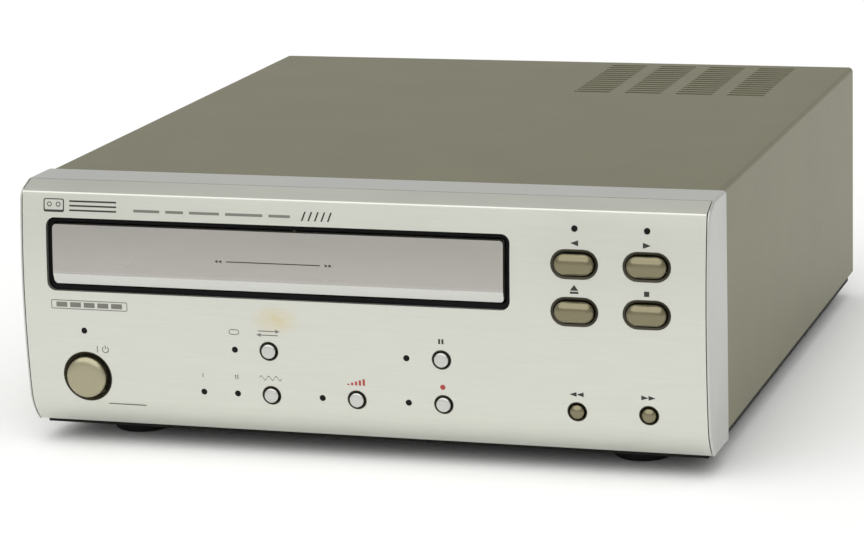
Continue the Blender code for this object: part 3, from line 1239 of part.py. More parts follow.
def make_capstan_motor():
    """The motor hangs under its shelf; the pulley turns round the motor's shaft."""
    top = SHELF_TOP - MECH_PLATE - GAP
    shaft = FLYWHEEL_TOP + PULLEY_SHAFT_TIP - top
    profile = [(0, shaft), (PIN_RADIUS, shaft), (PIN_RADIUS, 0), (CAPSTAN_MOTOR_RADIUS, 0),
               (CAPSTAN_MOTOR_RADIUS, -CAPSTAN_MOTOR_HEIGHT), (0, -CAPSTAN_MOTOR_HEIGHT)]
    add_turned("capstan_motor", profile, "zinc_steel", (MOTOR_X, MOTOR_Y, top))
    bore = PIN_RADIUS + GAP
    low = SHELF_TOP + GAP
    height = FLYWHEEL_TOP - low
    ring = [(bore, height), (PULLEY_RADIUS, height), (PULLEY_RADIUS, 0), (bore, 0), (bore, height)]
    add_turned("motor_pulley", ring, "brass", (MOTOR_X, MOTOR_Y, low), steps=16)


def make_head_plate():
    back = HEAD_PLATE_FRONT + HEAD_PLATE_LENGTH
    plate = boxes(((DRAWER_X - HEAD_PLATE_HALF_WIDTH, HEAD_PLATE_FRONT, HEAD_PLATE_Z),
                   (DRAWER_X + HEAD_PLATE_HALF_WIDTH, back, HEAD_PLATE_Z + HEAD_PLATE_THICKNESS)))
    add_part("head_plate", plate, "zinc_steel")
    low = HEAD_PLATE_Z + HEAD_PLATE_THICKNESS + GAP
    front = HEAD_PLATE_FRONT + HEAD_SETBACK
    shape = bmesh.new()
    half = HEAD_WIDTH / 2
    shares = [-1 + i * 0.4 for i in range(6)]
    crown = [(DRAWER_X + half * share, front + HEAD_CROWN * share * share) for share in shares]
    crown += [(DRAWER_X + half, front + HEAD_DEPTH), (DRAWER_X - half, front + HEAD_DEPTH)]
    add_outline(shape, crown, low, low + HEAD_HEIGHT, ALONG_Z)
    add_part("tape_head", shape, "zinc_steel")


def make_pinch_arms():
    for side, pivot, roller in pinch_places():
        word = "left" if side < 0 else "right"
        origin = (*pivot, HEAD_PLATE_Z)
        low, high = HEAD_PLATE_Z, HEAD_PLATE_Z + PINCH_ARM_THICKNESS
        heading = math.degrees(math.atan2(roller[1] - pivot[1], roller[0] - pivot[0]))
        half = PINCH_ARM_HALF_WIDTH
        outline = arc(*roller, half, heading - 90, heading + 90, 6)
        outline += arc(*pivot, half, heading + 90, heading + 270, 6)
        shape = bmesh.new()
        add_outline(shape, outline, low, high, ALONG_Z)
        arm = add_part("pinch_arm_" + word, shape, "zinc_steel", origin)
        bore = bmesh.new()
        add_cylinder(bore, (*pivot, low - PAST), (0, 0, 1), PINCH_ARM_THICKNESS + 2 * PAST,
                     PIN_RADIUS + GAP, 10)
        reshape(arm, "DIFFERENCE", bore, origin)
        axle = bmesh.new()
        axle_length = PINCH_ROLLER_RISE + PINCH_ROLLER_HEIGHT - SUNK
        add_cylinder(axle, (*roller, low + SUNK), (0, 0, 1), axle_length, PINCH_AXLE_RADIUS, 8)
        reshape(arm, "UNION", axle, origin)
        inner, height = PINCH_AXLE_RADIUS + GAP, PINCH_ROLLER_HEIGHT
        ring = [(inner, height), (PINCH_RADIUS, height), (PINCH_RADIUS, 0), (inner, 0), (inner, height)]
        add_turned("pinch_roller_" + word, ring, "rubber", (*roller, low + PINCH_ROLLER_RISE), steps=16)


# ---- electronics -----------------------------------------------------------------------------

def make_front_board():
    """Board behind the front panel with a tact switch for every button."""
    left, right = -HALF_WIDTH + FRONT_BOARD_MARGIN, HALF_WIDTH - FRONT_BOARD_MARGIN
    step_x = OPENING_RIGHT + SURROUND_REACH + FRONT_BOARD_BESIDE_DRAWER
    low, high = FRONT_BOARD_LOW, OPENING_BOTTOM - SURROUND_REACH - FRONT_BOARD_BELOW_DRAWER
    top = CREASE - FRONT_BOARD_TOP_DROP
    outline = [(left, low), (right, low), (right, top), (step_x, top), (step_x, high), (left, high)]
    shape = bmesh.new()
    add_outline(shape, outline, FRONT_BOARD_Y, FRONT_BOARD_Y + BOARD_THICKNESS, ALONG_Y)
    board = add_part("front_board", shape, "circuit_board")
    switches = bmesh.new()
    half = SWITCH_SIZE / 2
    places = [*OBLONG_BUTTONS.values(), *SMALL_BUTTONS.values(), (POWER_X, POWER_ROW)]
    for x, z in places:
        add_box(switches, (x - half, SWITCH_FRONT, z - half), (x + half, FRONT_BOARD_Y + SUNK, z + half))
    reshape(board, "UNION", switches)


def make_main_board():
    left, right = -HALF_WIDTH + MAIN_BOARD_LEFT_MARGIN, HALF_WIDTH - MAIN_BOARD_RIGHT_MARGIN
    front, back = MECH_BACK + MAIN_BOARD_BEHIND_MECH, CHASSIS_BACK - MAIN_BOARD_REAR_MARGIN
    low, high = MAIN_BOARD_HEIGHT, MAIN_BOARD_HEIGHT + BOARD_THICKNESS
    board = add_part("main_board", boxes(((left, front, low), (right, back, high))), "circuit_board")
    more = bmesh.new()
    for x in (left + BOARD_POST_INSET, right - BOARD_POST_INSET):
        for y in (front + BOARD_POST_INSET, back - BOARD_POST_INSET):
            add_cylinder(more, (x, y, 0.0), (0, 0, 1), low + SUNK, BOARD_POST_RADIUS, 8)
    sunk = high - SUNK
    column, rows = CAPACITOR_PLACES
    for row in rows:
        add_cylinder(more, (right - column, front + row, sunk), (0, 0, 1), CAPACITOR_HEIGHT + SUNK,
                     CAPACITOR_RADIUS, 12)
    blocks = ((SHIELD_PLACE, SHIELD_SIZE), (HEAT_SINK_PLACE, HEAT_SINK_SIZE),
              (PROCESSOR_PLACE, PROCESSOR_SIZE))
    for (from_right, from_front), (width, depth, height) in blocks:
        x, y = right - from_right, front + from_front
        add_box(more, (x - width, y, sunk), (x, y + depth, high + height))
    columns, row = CHIP_PLACES
    width, depth, height = CHIP_SIZE
    for column in columns:
        x, y = left + column, front + row
        add_box(more, (x, y, sunk), (x + width, y + depth, high + height))
    reshape(board, "UNION", more)


def make_transformer():
    width, depth, height = TRANSFORMER_SIZE
    right = HALF_WIDTH - TRANSFORMER_END_MARGIN
    back = CASE_BACK - TRANSFORMER_REAR_MARGIN
    front = back - depth
    core_front = (front + back - TRANSFORMER_CORE_DEPTH) / 2
    core = boxes(((right - width, core_front, 0.0), (right, core_front + TRANSFORMER_CORE_DEPTH, height)))
    transformer = add_part("transformer", core, "transformer_core")
    side, end = COIL_INSET
    coil = boxes(((right - width + side, front, end), (right - side, back, height - end)))
    reshape(transformer, "UNION", coil)


# ---- build -----------------------------------------------------------------------------------

make_face_plate()
make_front_bezel()
make_drawer_surround()
make_indicators()
make_oblong_buttons()
make_round_buttons()
make_top_cover()
make_bottom_chassis()
make_rear_panel()
make_jack_block()
make_mains_inlet()
make_feet()
make_cover_screws()
make_drawer_front()
make_drawer_tray()
make_drawer_rails()
make_loading_drive()
make_mechanism_frame()
make_mechanism_base()
make_reel_hubs()
make_flywheels()
make_drive_belt()
make_capstan_motor()
make_head_plate()
make_pinch_arms()
make_front_board()
make_main_board()
make_transformer()
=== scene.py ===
"""Looks of the compact cassette deck: fine meshes, materials, markings, camera and light.

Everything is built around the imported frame. Lengths are in millimetres in the deck's own frame
(x from the middle of the front panel, y back from the crease of its face, z up from its lower
edge) and piece() carries them into the scene's metres.
"""
import json
import math

import bmesh
import bpy
from mathutils import Matrix, Vector


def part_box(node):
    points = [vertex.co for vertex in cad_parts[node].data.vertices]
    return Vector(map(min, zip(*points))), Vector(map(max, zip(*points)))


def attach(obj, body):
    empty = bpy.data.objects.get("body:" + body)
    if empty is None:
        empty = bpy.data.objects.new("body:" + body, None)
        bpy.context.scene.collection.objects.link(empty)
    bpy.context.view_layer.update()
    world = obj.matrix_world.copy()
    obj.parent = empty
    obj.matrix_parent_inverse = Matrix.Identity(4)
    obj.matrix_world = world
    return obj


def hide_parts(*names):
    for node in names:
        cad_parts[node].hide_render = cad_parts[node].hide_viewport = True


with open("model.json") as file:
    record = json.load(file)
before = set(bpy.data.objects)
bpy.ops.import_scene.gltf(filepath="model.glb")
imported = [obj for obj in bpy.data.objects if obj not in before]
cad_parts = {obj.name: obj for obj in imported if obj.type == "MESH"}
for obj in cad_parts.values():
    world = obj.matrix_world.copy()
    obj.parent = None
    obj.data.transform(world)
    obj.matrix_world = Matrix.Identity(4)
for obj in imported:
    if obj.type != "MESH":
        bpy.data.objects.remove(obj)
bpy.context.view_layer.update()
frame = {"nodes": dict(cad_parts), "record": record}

MM = 0.001
SIDES = ("left", "right")
PAST = 5.0                   # a cutter runs this far past what it cuts
TURNED_TIP = 0.01            # radius left at the tip of a turned body
WELD_DISTANCE = 0.00001      # metres

# The front panel's shape, as the frame has it
PANEL_DEPTH = 21.4
CREASE_DROP = 2.5
FACE_BOW = 2.8
ROLL_HEIGHT = 10.0
ROLL_DEPTH = 4.0
ROLL_POWER = 2.2
BEVEL_DEPTH = 6.5
PLATE_THICKNESS = 1.5
PLATE_INSET = 1.0
PLATE_CREASE_RADIUS = 0.6
END_CREASE_RADIUS = 4.5
BEND_CLEARANCE = 0.3         # the curved face ends this far below the crease's rounding
BEZEL_EDGE = 0.7
PANEL_WALL = 2.0
END_WALL = 2.5
GAP = 0.3
FACE_CUT = 12.0              # cutters for the face reach this far ahead of the crease
SURROUND_REACH = 1.0
DRAWER_CORNER = 2.7
DOOR_CORNER = 1.2
DOOR_EDGE = 0.45
DOOR_STRIP = 3.2
DOOR_STRIP_DEPTH = 1.2
DOOR_CORNER_STEPS = 6
DOOR_RISE_STEPS = 14

# Buttons: cap and surrounding ring
OBLONG_REACH = 2.75
OBLONG_CAP_RADIUS = 3.15
OBLONG_RING_RADIUS = 4.3
SMALL_CAP_RADIUS = 2.15
SMALL_RING_RADIUS = 2.95
POWER_CAP_RADIUS = 6.3
POWER_RING_RADIUS = 7.8
CAP_CLEARANCE = 0.3
CAP_STEPS = 12
FLANGE_GAP = 1.0             # between the bezel's wall and a button's flange
FLANGE_REACH = 0.9
FLANGE_THICKNESS = 1.0
STEM_RADIUS = 1.6
SILVER_CAP_SUNK = 0.5        # the fine silver caps stand this much lower than their CAD nodes
CROWN_TIP = 0.02             # radius left in the middle of a domed cap
RING_FIT = 0.04              # between a ring and its hole in the face plate
RING_DEPTH = 1.7
RING_LIP = (0.12, 0.07)      # its width, and how proud of the face it stands
RING_FOOT = (0.1, 0.15)      # the edge beside the cap: its width and depth
RING_DISH = 0.1              # how deep a ring slopes in from its lip
POWER_RING_DISH = 0.65

# Indicators and print
LENS_RADIUS = 0.85
LENS_GAP = 0.1
LENS_PROUD = 0.25
LENS_DOME = 0.3
INK_HEIGHT = 0.03

# Cover
SHEET = 1.0
COVER_BEND_RADIUS = 1.5
COVER_SKIRT = 1.8
COVER_FLANGE = 9.0
COVER_EDGE = 0.18
LIP_CORNER = 1.0
LIP_SET_BACK = 0.03          # the lip's outer side behind the cover's rear edge
VENT_GROUPS = 4
VENT_PITCH = 17.4
VENT_WIDTH = 12.8
VENT_END_MARGIN = 20.2
VENT_REAR_MARGIN = 5.0
VENT_LENGTH = 56.0
VENT_ROWS = 14
VENT_SLOT = 2.0
VENT_CUT = (3.0, 1.0)        # how far a slot's cutter reaches below and above the cover's top

# Feet: (in from the rim, down from the top), (in from the rim, up), (radius, up)
FOOT_TOP_EDGE = ((0.6, 0), (0.2, 0.2), (0, 0.6))
FOOT_TREAD = ((0, 1.3), (0.3, 0.5), (0.9, 0.08), (1.6, 0), (3.4, 0), (3.7, 0.5))
FOOT_HOLLOW = ((2.6, 0.5), (2.3, 0.9), (0, 0.9))

# Screws
SHANK_RADIUS = 1.4
HEAD_DOME_SHARE = 0.8        # of the head's height
CROSS_SHARE = 0.57           # half the recess's length over the head's radius
CROSS_HALF_WIDTH = 0.3
CROSS_DEPTH = 0.9
CROSS_PAST = 1.0
COVER_SCREW_HOLE = 1.8
COVER_SCREW_LIFT = 0.02      # between the cover's rear edge and a screw's head
REAR_SCREW = (1.2, 2.1, 1.5)  # the head's height and radius, the shank's length
INLET_SCREW_OFFSET = 12.0
PANEL_SCREW_MARGIN = (7.0, 5.0)

# Jacks
JACK_BLOCK_CORNER = 1.2
JACK_RADIUS = 4.2
JACK_BORE = 3.3
JACK_MARGIN = 6.0
JACK_COLLAR = ((JACK_RADIUS, 0.9), (3.95, 1.1))  # radius, height above the panel
JACK_TIP = ((3.95, 0.3), (3.7, 0), (3.45, 0), (JACK_BORE, 0.2))  # radius, drop from the end
INSULATOR_BORE = 1.6
INSULATOR_RADIUS = 3.25
INSULATOR_TIP = ((INSULATOR_RADIUS, 1.0), (3.05, 0.7), (1.8, 0.7), (INSULATOR_BORE, 0.9))

# Mains inlet
INLET_CORNER = 1.5
INLET_LIP = (3.5, 4.35)      # reach and radius of its oblong
INLET_LIP_ROOT = 0.5
INLET_LIP_RISE = 0.4
INLET_THROAT = 13.0
INLET_THROAT_RADIUS = 3.6
INLET_THROAT_PAST = 2.0
INLET_PIN_OFFSET = 3.4
INLET_PIN_ROOT = 1.0
INLET_PIN_SUNK = 2.0
INLET_PIN_RADIUS = 1.2
INLET_PIN_TIP = ((0, 0), (0.7, 0.1), (1.1, 0.6), (INLET_PIN_RADIUS, 1.2))  # radius, drop

# Rear label
LABEL_X = 4.0
LABEL_DROP = 1.0             # its middle below the jacks' middle
LABEL_SIZE = (52.0, 24.0)
LABEL_CORNER = 1.0
LABEL_THICKNESS = 0.06
LABEL_MARGIN = 3.0
LABEL_LINES = (40.0, 46.0, 34.0, 44.0, 28.0)
LABEL_FIRST_LINE = 8.0
LABEL_LINE_PITCH = 4.0
LABEL_LINE_WIDTH = 0.7
LABEL_INK = (0.04, 0.09)     # where the lines begin and end behind the panel

# Tape mechanism: (radius, height) sections
HUB_SHAFT = 3.0              # the shaft's length below the disc
HUB_TIP = ((0, 0), (1.3, 0.15), (2.5, 0.9), (3.4, 2.5))  # radius, drop from the spindle's top
HUB_DISC = ((3.4, 5.2), (4.2, 3.9), (5.0, 3.2), (6.6, 3.2), (6.8, 3.0), (8.6, 3.0), (8.8, 3.2),
            (10.2, 3.2), (10.5, 2.9), (10.5, 0.9), (10.2, 0.6), (1.7, 0.6), (1.7, -HUB_SHAFT))
FIN = ((2.4, -0.5), (3.9, -0.5), (4.3, -0.2), (4.3, 0.2), (3.9, 0.5), (2.4, 0.5))
FIN_FOOT = 6.2
FIN_TOP_DROP = (4.0, 3.0)    # where a fin begins and ends to taper, below the spindle's top
FIN_TAPER = 0.75
CAPSTAN_TIP = ((0, 0), (0.9, 0.1), (1.25, 0.5))  # radius, drop from the capstan's top
FLYWHEEL = ((1.25, 6.0), (2.8, 6.0), (3.0, 5.8), (3.0, 5.0), (15.6, 5.0), (16.0, 4.6),
            (16.0, 0.4), (15.6, 0), (13.0, 0), (12.0, 1.5), (0, 1.5))
TYRE = (2.6, 4.7, 5.0)       # bore, radius at the ends, radius
TYRE_EDGE = 0.3
CORE = (1.3, 2.58)
CORE_SUNK = 0.2
PULLEY = (1.5, 3.8, 4.0, 3.85)  # bore, radius at the ends, of the flanges and of the seat
PULLEY_FLANGE = (0.2, 1.0)
HEAD_CROWN = 2.0
HEAD_STEPS = 10


# ---- where things are ------------------------------------------------------------------------

PANEL_LOW, PANEL_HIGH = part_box("front_bezel")
ORIGIN = Vector((0, PANEL_HIGH.y - PANEL_DEPTH * MM, PANEL_LOW.z))
HALF_WIDTH = PANEL_HIGH.x / MM
PANEL_HEIGHT = (PANEL_HIGH.z - PANEL_LOW.z) / MM
CREASE = PANEL_HEIGHT - CREASE_DROP


def deck_box(node):
    """A CAD node's lowest and highest corners in deck millimetres."""
    low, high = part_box(node)
    return (low - ORIGIN) / MM, (high - ORIGIN) / MM


def middle(node):
    """The middle of a CAD node's box, in deck millimetres."""
    low, high = deck_box(node)
    return (low + high) / 2


def face_y(z):
    """Where the front face's surface lies at height z: bowed forward, rolled under at the foot."""
    centre = CREASE / 2
    bow = -FACE_BOW * (1 - ((z - centre) / centre) ** 2)
    roll = max(0.0, (ROLL_HEIGHT - z) / ROLL_HEIGHT)
    return bow + ROLL_DEPTH * roll ** ROLL_POWER


# ---- mesh helpers ----------------------------------------------------------------------------

ALONG_X = Matrix(((0, 0, 1, 0), (1, 0, 0, 0), (0, 1, 0, 0), (0, 0, 0, 1)))
ALONG_Y = Matrix(((1, 0, 0, 0), (0, 0, -1, 0), (0, 1, 0, 0), (0, 0, 0, 1)))
ALONG_Z = Matrix.Identity(4)
BACKWARD = Matrix(((1, 0, 0, 0), (0, 0, 1, 0), (0, 1, 0, 0), (0, 0, 0, 1)))


def arc(centre_u, centre_v, radius, start, end, steps):
    angles = [math.radians(start + (end - start) * i / steps) for i in range(steps + 1)]
    return [(centre_u + radius * math.cos(a), centre_v + radius * math.sin(a)) for a in angles]


def rounded_rectangle(centre_u, centre_v, width, height, radius, steps=8):
    points = []
    for side_u, side_v, start in ((1, 1, 0), (-1, 1, 90), (-1, -1, 180), (1, -1, 270)):
        u = centre_u + side_u * (width / 2 - radius)
        v = centre_v + side_v * (height / 2 - radius)
        points += arc(u, v, radius, start, start + 90, steps)
    return points


def stadium(x, z, reach, radius, steps=12):
    """An oblong with round ends, or a circle when its reach is nothing."""
    if reach == 0:
        return arc(x, z, radius, 0, 360 - 360 / (4 * steps), 4 * steps - 1)
    return arc(x + reach, z, radius, -90, 90, steps) + arc(x - reach, z, radius, 90, 270, steps)


def filled_curve(loops):
    """A flat filled curve from an outer loop and any holes."""
    curve = bpy.data.curves.new("outline", "CURVE")
    curve.dimensions = "2D"
    curve.fill_mode = "BOTH"
    for loop in loops:
        spline = curve.splines.new("POLY")
        spline.points.add(len(loop) - 1)
        for point, (u, v) in zip(spline.points, loop):
            point.co = (u, v, 0, 1)
        spline.use_cyclic_u = True
    return curve


def add_outline(shape, loops, low, high, along):
    """Adds a flat outline made solid from low to high along one of the frame's axes."""
    curve = filled_curve(loops)
    curve.extrude = (high - low) / 2
    holder = bpy.data.objects.new("outline", curve)
    bpy.context.scene.collection.objects.link(holder)
    graph = bpy.context.evaluated_depsgraph_get()
    mesh = bpy.data.meshes.new_from_object(holder.evaluated_get(graph))
    solid = bmesh.new()
    solid.from_mesh(mesh)
    bmesh.ops.remove_doubles(solid, verts=solid.verts, dist=0.0001)
    depth = along.to_3x3() @ Vector((0, 0, 1))
    centre = Vector([abs(part) * (low + high) / 2 for part in depth])
    bmesh.ops.transform(solid, matrix=Matrix.Translation(centre) @ along, verts=solid.verts)
    solid.to_mesh(mesh)
    solid.free()
    shape.from_mesh(mesh)
    bpy.data.objects.remove(holder)
    bpy.data.curves.remove(curve)
    bpy.data.meshes.remove(mesh)


def outline(loops, low, high, along):
    shape = bmesh.new()
    add_outline(shape, loops, low, high, along)
    return shape


def add_box(shape, low, high):
    size = [b - a for a, b in zip(low, high)]
    centre = [(a + b) / 2 for a, b in zip(low, high)]
    place = Matrix.Translation(centre) @ Matrix.Diagonal((*size, 1))
    return bmesh.ops.create_cube(shape, size=1, matrix=place)["verts"]


def skin(loops, ring=False):
    """A closed body through loops of equally many points, capped at its ends unless a ring."""
    shape = bmesh.new()
    rows = [[shape.verts.new(point) for point in loop] for loop in loops]
    pairs = list(zip(rows, rows[1:]))
    if ring:
        pairs.append((rows[-1], rows[0]))
    else:
        shape.faces.new(rows[0])
        shape.faces.new(rows[-1][::-1])
    for here, ahead in pairs:
        for i in range(len(here)):
            j = (i + 1) % len(here)
            shape.faces.new((here[i], ahead[i], ahead[j], here[j]))
    return shape


def turned(profile, at, along=ALONG_Z, steps=40):
    """A turned body from (radius, height) points between two ends, centred at a point."""
    loops = []
    for radius, height in profile:
        ring = arc(0, 0, max(radius, TURNED_TIP), 0, 360 - 360 / steps, steps - 1)
        loops.append([Vector(at) + along.to_3x3() @ Vector((u, v, height)) for u, v in ring])
    return skin(loops)


def turned_ring(profile, at, along=ALONG_Z, steps=40):
    """A turned ring from the (radius, height) points of its closed section."""
    loops = []
    for radius, height in profile:
        ring = arc(0, 0, radius, 0, 360 - 360 / steps, steps - 1)
        loops.append([Vector(at) + along.to_3x3() @ Vector((u, v, height)) for u, v in ring])
    return skin(loops, ring=True)


def mesh_from(name, shape):
    """A mesh in the scene's metres from a bmesh in deck millimetres, which is freed."""
    bmesh.ops.recalc_face_normals(shape, faces=shape.faces)
    bmesh.ops.scale(shape, vec=(MM, MM, MM), verts=shape.verts)
    bmesh.ops.translate(shape, vec=ORIGIN, verts=shape.verts)
    mesh = bpy.data.meshes.new(name)
    shape.to_mesh(mesh)
    shape.free()
    return mesh


def smooth(mesh, angle=35):
    mesh.shade_smooth()
    mesh.set_sharp_from_angle(angle=math.radians(angle))


def piece(name, shape, material, body="case", replaces=()):
    """A finished piece of the object from a bmesh in deck millimetres."""
    mesh = mesh_from(name, shape)
    mesh.materials.append(material)
    smooth(mesh)
    item = bpy.data.objects.new(name, mesh)
    bpy.context.scene.collection.objects.link(item)
    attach(item, body)
    if replaces:
        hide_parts(*replaces)
    return item


def cut(item, *shapes):
    """Cuts shapes out of a piece and keeps the result as its mesh."""
    material = item.data.materials[0]
    for shape in shapes:
        cutter = bpy.data.objects.new("cutter", mesh_from("cutter", shape))
        bpy.context.scene.collection.objects.link(cutter)
        boolean = item.modifiers.new("Cut", "BOOLEAN")
        boolean.object = cutter
        boolean.solver = "EXACT"
        graph = bpy.context.evaluated_depsgraph_get()
        mesh = bpy.data.meshes.new_from_object(item.evaluated_get(graph))
        item.modifiers.clear()
        item.data = mesh
        bpy.data.objects.remove(cutter)
    item.data.materials.clear()
    item.data.materials.append(material)
    for face in item.data.polygons:
        face.material_index = 0
    smooth(item.data)


def soften(item, width, angle, segments=2):
    """Rounds the edges that turn by more than an angle."""
    edge = item.modifiers.new("Edge", "BEVEL")
    edge.width = width * MM
    edge.segments = segments
    edge.limit_method = "ANGLE"
    edge.angle_limit = math.radians(angle)


# ---- materials -------------------------------------------------------------------------------

BRUSH_LINES = (60, 5000, 5000)
BRUSH_PATCHES = (25, 60, 60)
MOTTLE_PATCHES = (40, 40, 40)
NOISE_SPREAD = (0.3, 0.7)
MATT_SPECULAR = 0.12
FACE_COLOUR = (0.62, 0.625, 0.565)
STAIN_COLOUR = (0.62, 0.50, 0.20)
STAIN_PLACE = (-24.5, 36.0)
STAIN_SIZE = (8.0, 8.0, 5.0)
STAIN_PATCHES = (500, 500, 500)


def new_material(name, colour, roughness, metallic=0.0):
    material = bpy.data.materials.new(name)
    material.use_nodes = True
    shader = material.node_tree.nodes["Principled BSDF"]
    shader.inputs["Base Color"].default_value = (*colour, 1)
    shader.inputs["Roughness"].default_value = roughness
    shader.inputs["Metallic"].default_value = metallic
    return material


def noise(material, scale, detail=2.0):
    """Noise over the piece's own coordinates, with a scale for each axis, per metre."""
    nodes, links = material.node_tree.nodes, material.node_tree.links
    place = nodes.new("ShaderNodeTexCoord")
    mapping = nodes.new("ShaderNodeMapping")
    mapping.inputs["Scale"].default_value = scale
    texture = nodes.new("ShaderNodeTexNoise")
    texture.inputs["Scale"].default_value = 1.0
    texture.inputs["Detail"].default_value = detail
    links.new(place.outputs["Object"], mapping.inputs["Vector"])
    links.new(mapping.outputs["Vector"], texture.inputs["Vector"])
    return texture.outputs["Fac"]


def tint(material, factor, low, high, spread=(0.35, 0.65)):
    """Base colour from low to high as the factor crosses the spread."""
    nodes, links = material.node_tree.nodes, material.node_tree.links
    ramp = nodes.new("ShaderNodeValToRGB")
    ramp.color_ramp.elements[0].position, ramp.color_ramp.elements[1].position = spread
    ramp.color_ramp.elements[0].color = (*low, 1)
    ramp.color_ramp.elements[1].color = (*high, 1)
    links.new(factor, ramp.inputs["Fac"])
    links.new(ramp.outputs["Color"], nodes["Principled BSDF"].inputs["Base Color"])
    return ramp.outputs["Color"]


def vary_roughness(material, factor, low, high):
    """Roughness from low to high as the factor crosses the spread of a noise."""
    nodes, links = material.node_tree.nodes, material.node_tree.links
    spread = nodes.new("ShaderNodeMapRange")
    spread.inputs["From Min"].default_value, spread.inputs["From Max"].default_value = NOISE_SPREAD
    spread.inputs["To Min"].default_value = low
    spread.inputs["To Max"].default_value = high
    links.new(factor, spread.inputs["Value"])
    links.new(spread.outputs["Result"], nodes["Principled BSDF"].inputs["Roughness"])


def bump(material, factor, height):
    """Relief of the given height in millimetres."""
    nodes, links = material.node_tree.nodes, material.node_tree.links
    relief = nodes.new("ShaderNodeBump")
    relief.inputs["Strength"].default_value = 1.0
    relief.inputs["Distance"].default_value = height * MM
    links.new(factor, relief.inputs["Height"])
    links.new(relief.outputs["Normal"], nodes["Principled BSDF"].inputs["Normal"])


def shade(colour, share):
    return tuple(part * share for part in colour)


def brushed(name, colour, roughness, metallic, contrast=0.025, relief=0.0012):
    """Metal brushed along x: fine lines, a little uneven over larger areas."""
    material = new_material(name, colour, roughness, metallic)
    lines = noise(material, BRUSH_LINES, 3.0)
    tint(material, lines, shade(colour, 1 - contrast), shade(colour, 1 + contrast))
    broad = noise(material, BRUSH_PATCHES)
    vary_roughness(material, broad, roughness * 0.92, roughness * 1.1)
    bump(material, lines, relief)
    return material


def painted(name, colour, roughness, metallic=0.0, grain=0.006, size=2500, mottle=0.05):
    """Satin paint or moulded plastic with a fine even grain and faint mottling."""
    material = new_material(name, colour, roughness, metallic)
    broad = noise(material, MOTTLE_PATCHES, 3.0)
    tint(material, broad, shade(colour, 1 - mottle), shade(colour, 1 + mottle), NOISE_SPREAD)
    fine = noise(material, (size, size, size))
    vary_roughness(material, fine, roughness * 0.93, roughness * 1.08)
    bump(material, fine, grain)
    return material


def matt(material):
    """Takes most of the surface reflection away."""
    shader = material.node_tree.nodes["Principled BSDF"]
    shader.inputs["Specular IOR Level"].default_value = MATT_SPECULAR
    return material


def stained_face():
    """The face plate's brushed silver, with the faint yellow mark under the drawer."""
    material = brushed("face_silver", FACE_COLOUR, 0.33, 0.8)
    nodes, links = material.node_tree.nodes, material.node_tree.links
    shader = nodes["Principled BSDF"]
    plain = shader.inputs["Base Color"].links[0].from_socket
    place = nodes.new("ShaderNodeTexCoord")
    shift = nodes.new("ShaderNodeMapping")
    x, z = STAIN_PLACE
    shift.vector_type = "TEXTURE"
    shift.inputs["Location"].default_value = ORIGIN + Vector((x, face_y(z), z)) * MM
    shift.inputs["Scale"].default_value = Vector(STAIN_SIZE) * MM
    ball = nodes.new("ShaderNodeTexGradient")
    ball.gradient_type = "SPHERICAL"
    patch = nodes.new("ShaderNodeMath")
    patch.operation = "MULTIPLY"
    mix = nodes.new("ShaderNodeMix")
    mix.data_type = "RGBA"
    links.new(place.outputs["Object"], shift.inputs["Vector"])
    links.new(shift.outputs["Vector"], ball.inputs["Vector"])
    links.new(ball.outputs["Fac"], patch.inputs[0])
    links.new(noise(material, STAIN_PATCHES, 3.0), patch.inputs[1])
    links.new(patch.outputs["Value"], mix.inputs["Factor"])
    links.new(plain, mix.inputs[6])
    mix.inputs[7].default_value = (*STAIN_COLOUR, 1)
    links.new(mix.outputs[2], shader.inputs["Base Color"])
    return material


FACE = stained_face()
NICKEL = brushed("plated_nickel", (0.62, 0.60, 0.54), 0.22, 1.0, contrast=0.04, relief=0.0006)
HEAD_METAL = brushed("head_metal", (0.60, 0.59, 0.56), 0.12, 1.0, contrast=0.02, relief=0.0003)
JACK_WHITE = painted("jack_white", (0.70, 0.70, 0.67), 0.4, grain=0.003, size=1500)
JACK_RED = painted("jack_red", (0.42, 0.025, 0.02), 0.4, grain=0.003, size=1500)
LABEL = painted("label_foil", (0.42, 0.42, 0.40), 0.5, 0.3, grain=0.002, size=3000)
BEZEL = painted("bezel_silver", (0.53, 0.535, 0.51), 0.40, 0.6, grain=0.002, size=4000, mottle=0.02)
DOOR = brushed("door_silver", (0.44, 0.425, 0.395), 0.25, 0.85)
# A lighter copy of the door's metal for the leaning strip at its foot: painted reflection.
STRIP_SHEEN = brushed("door_strip_sheen", (0.60, 0.60, 0.57), 0.28, 0.8)
COVER = painted("cover_champagne", (0.200, 0.191, 0.118), 0.46, 0.55, grain=0.008, size=2200,
                mottle=0.03)
CHASSIS = matt(painted("chassis_black", (0.010, 0.010, 0.009), 0.6, grain=0.01, size=1500))
ZINC = brushed("zinc_plate", (0.50, 0.50, 0.46), 0.38, 0.95, contrast=0.10)
BLACK = painted("black_moulding", (0.010, 0.010, 0.010), 0.5, grain=0.006, size=2200)
# A darker matt copy of the black moulding for the drawer's surround: painted shade in the gap round
# the door.
BAND_SHADE = matt(painted("band_black_shade", (0.004, 0.004, 0.004), 0.6, grain=0.006, size=2200))
GOLD = brushed("gold_cap", (0.225, 0.202, 0.128), 0.24, 0.95, contrast=0.03, relief=0.0006)
PALE_GOLD = brushed("power_cap", (0.37, 0.345, 0.235), 0.30, 0.95, contrast=0.03, relief=0.0006)
SILVER = brushed("silver_cap", (0.56, 0.56, 0.53), 0.30, 0.9, contrast=0.03, relief=0.0006)
# Dark bronze for the rings round the buttons: painted shade of the gap between cap and plate.
RING_SHADE = painted("ring_bronze_shade", (0.060, 0.056, 0.040), 0.40, 0.8, grain=0.002, size=3000)
RUBBER = matt(painted("foot_rubber", (0.014, 0.014, 0.014), 0.8, grain=0.02, size=1600))
LENS = matt(painted("smoked_lens", (0.006, 0.005, 0.005), 0.3, grain=0.001, size=900))
BOARD = painted("board_green", (0.022, 0.10, 0.045), 0.4, grain=0.01, size=700, mottle=0.15)
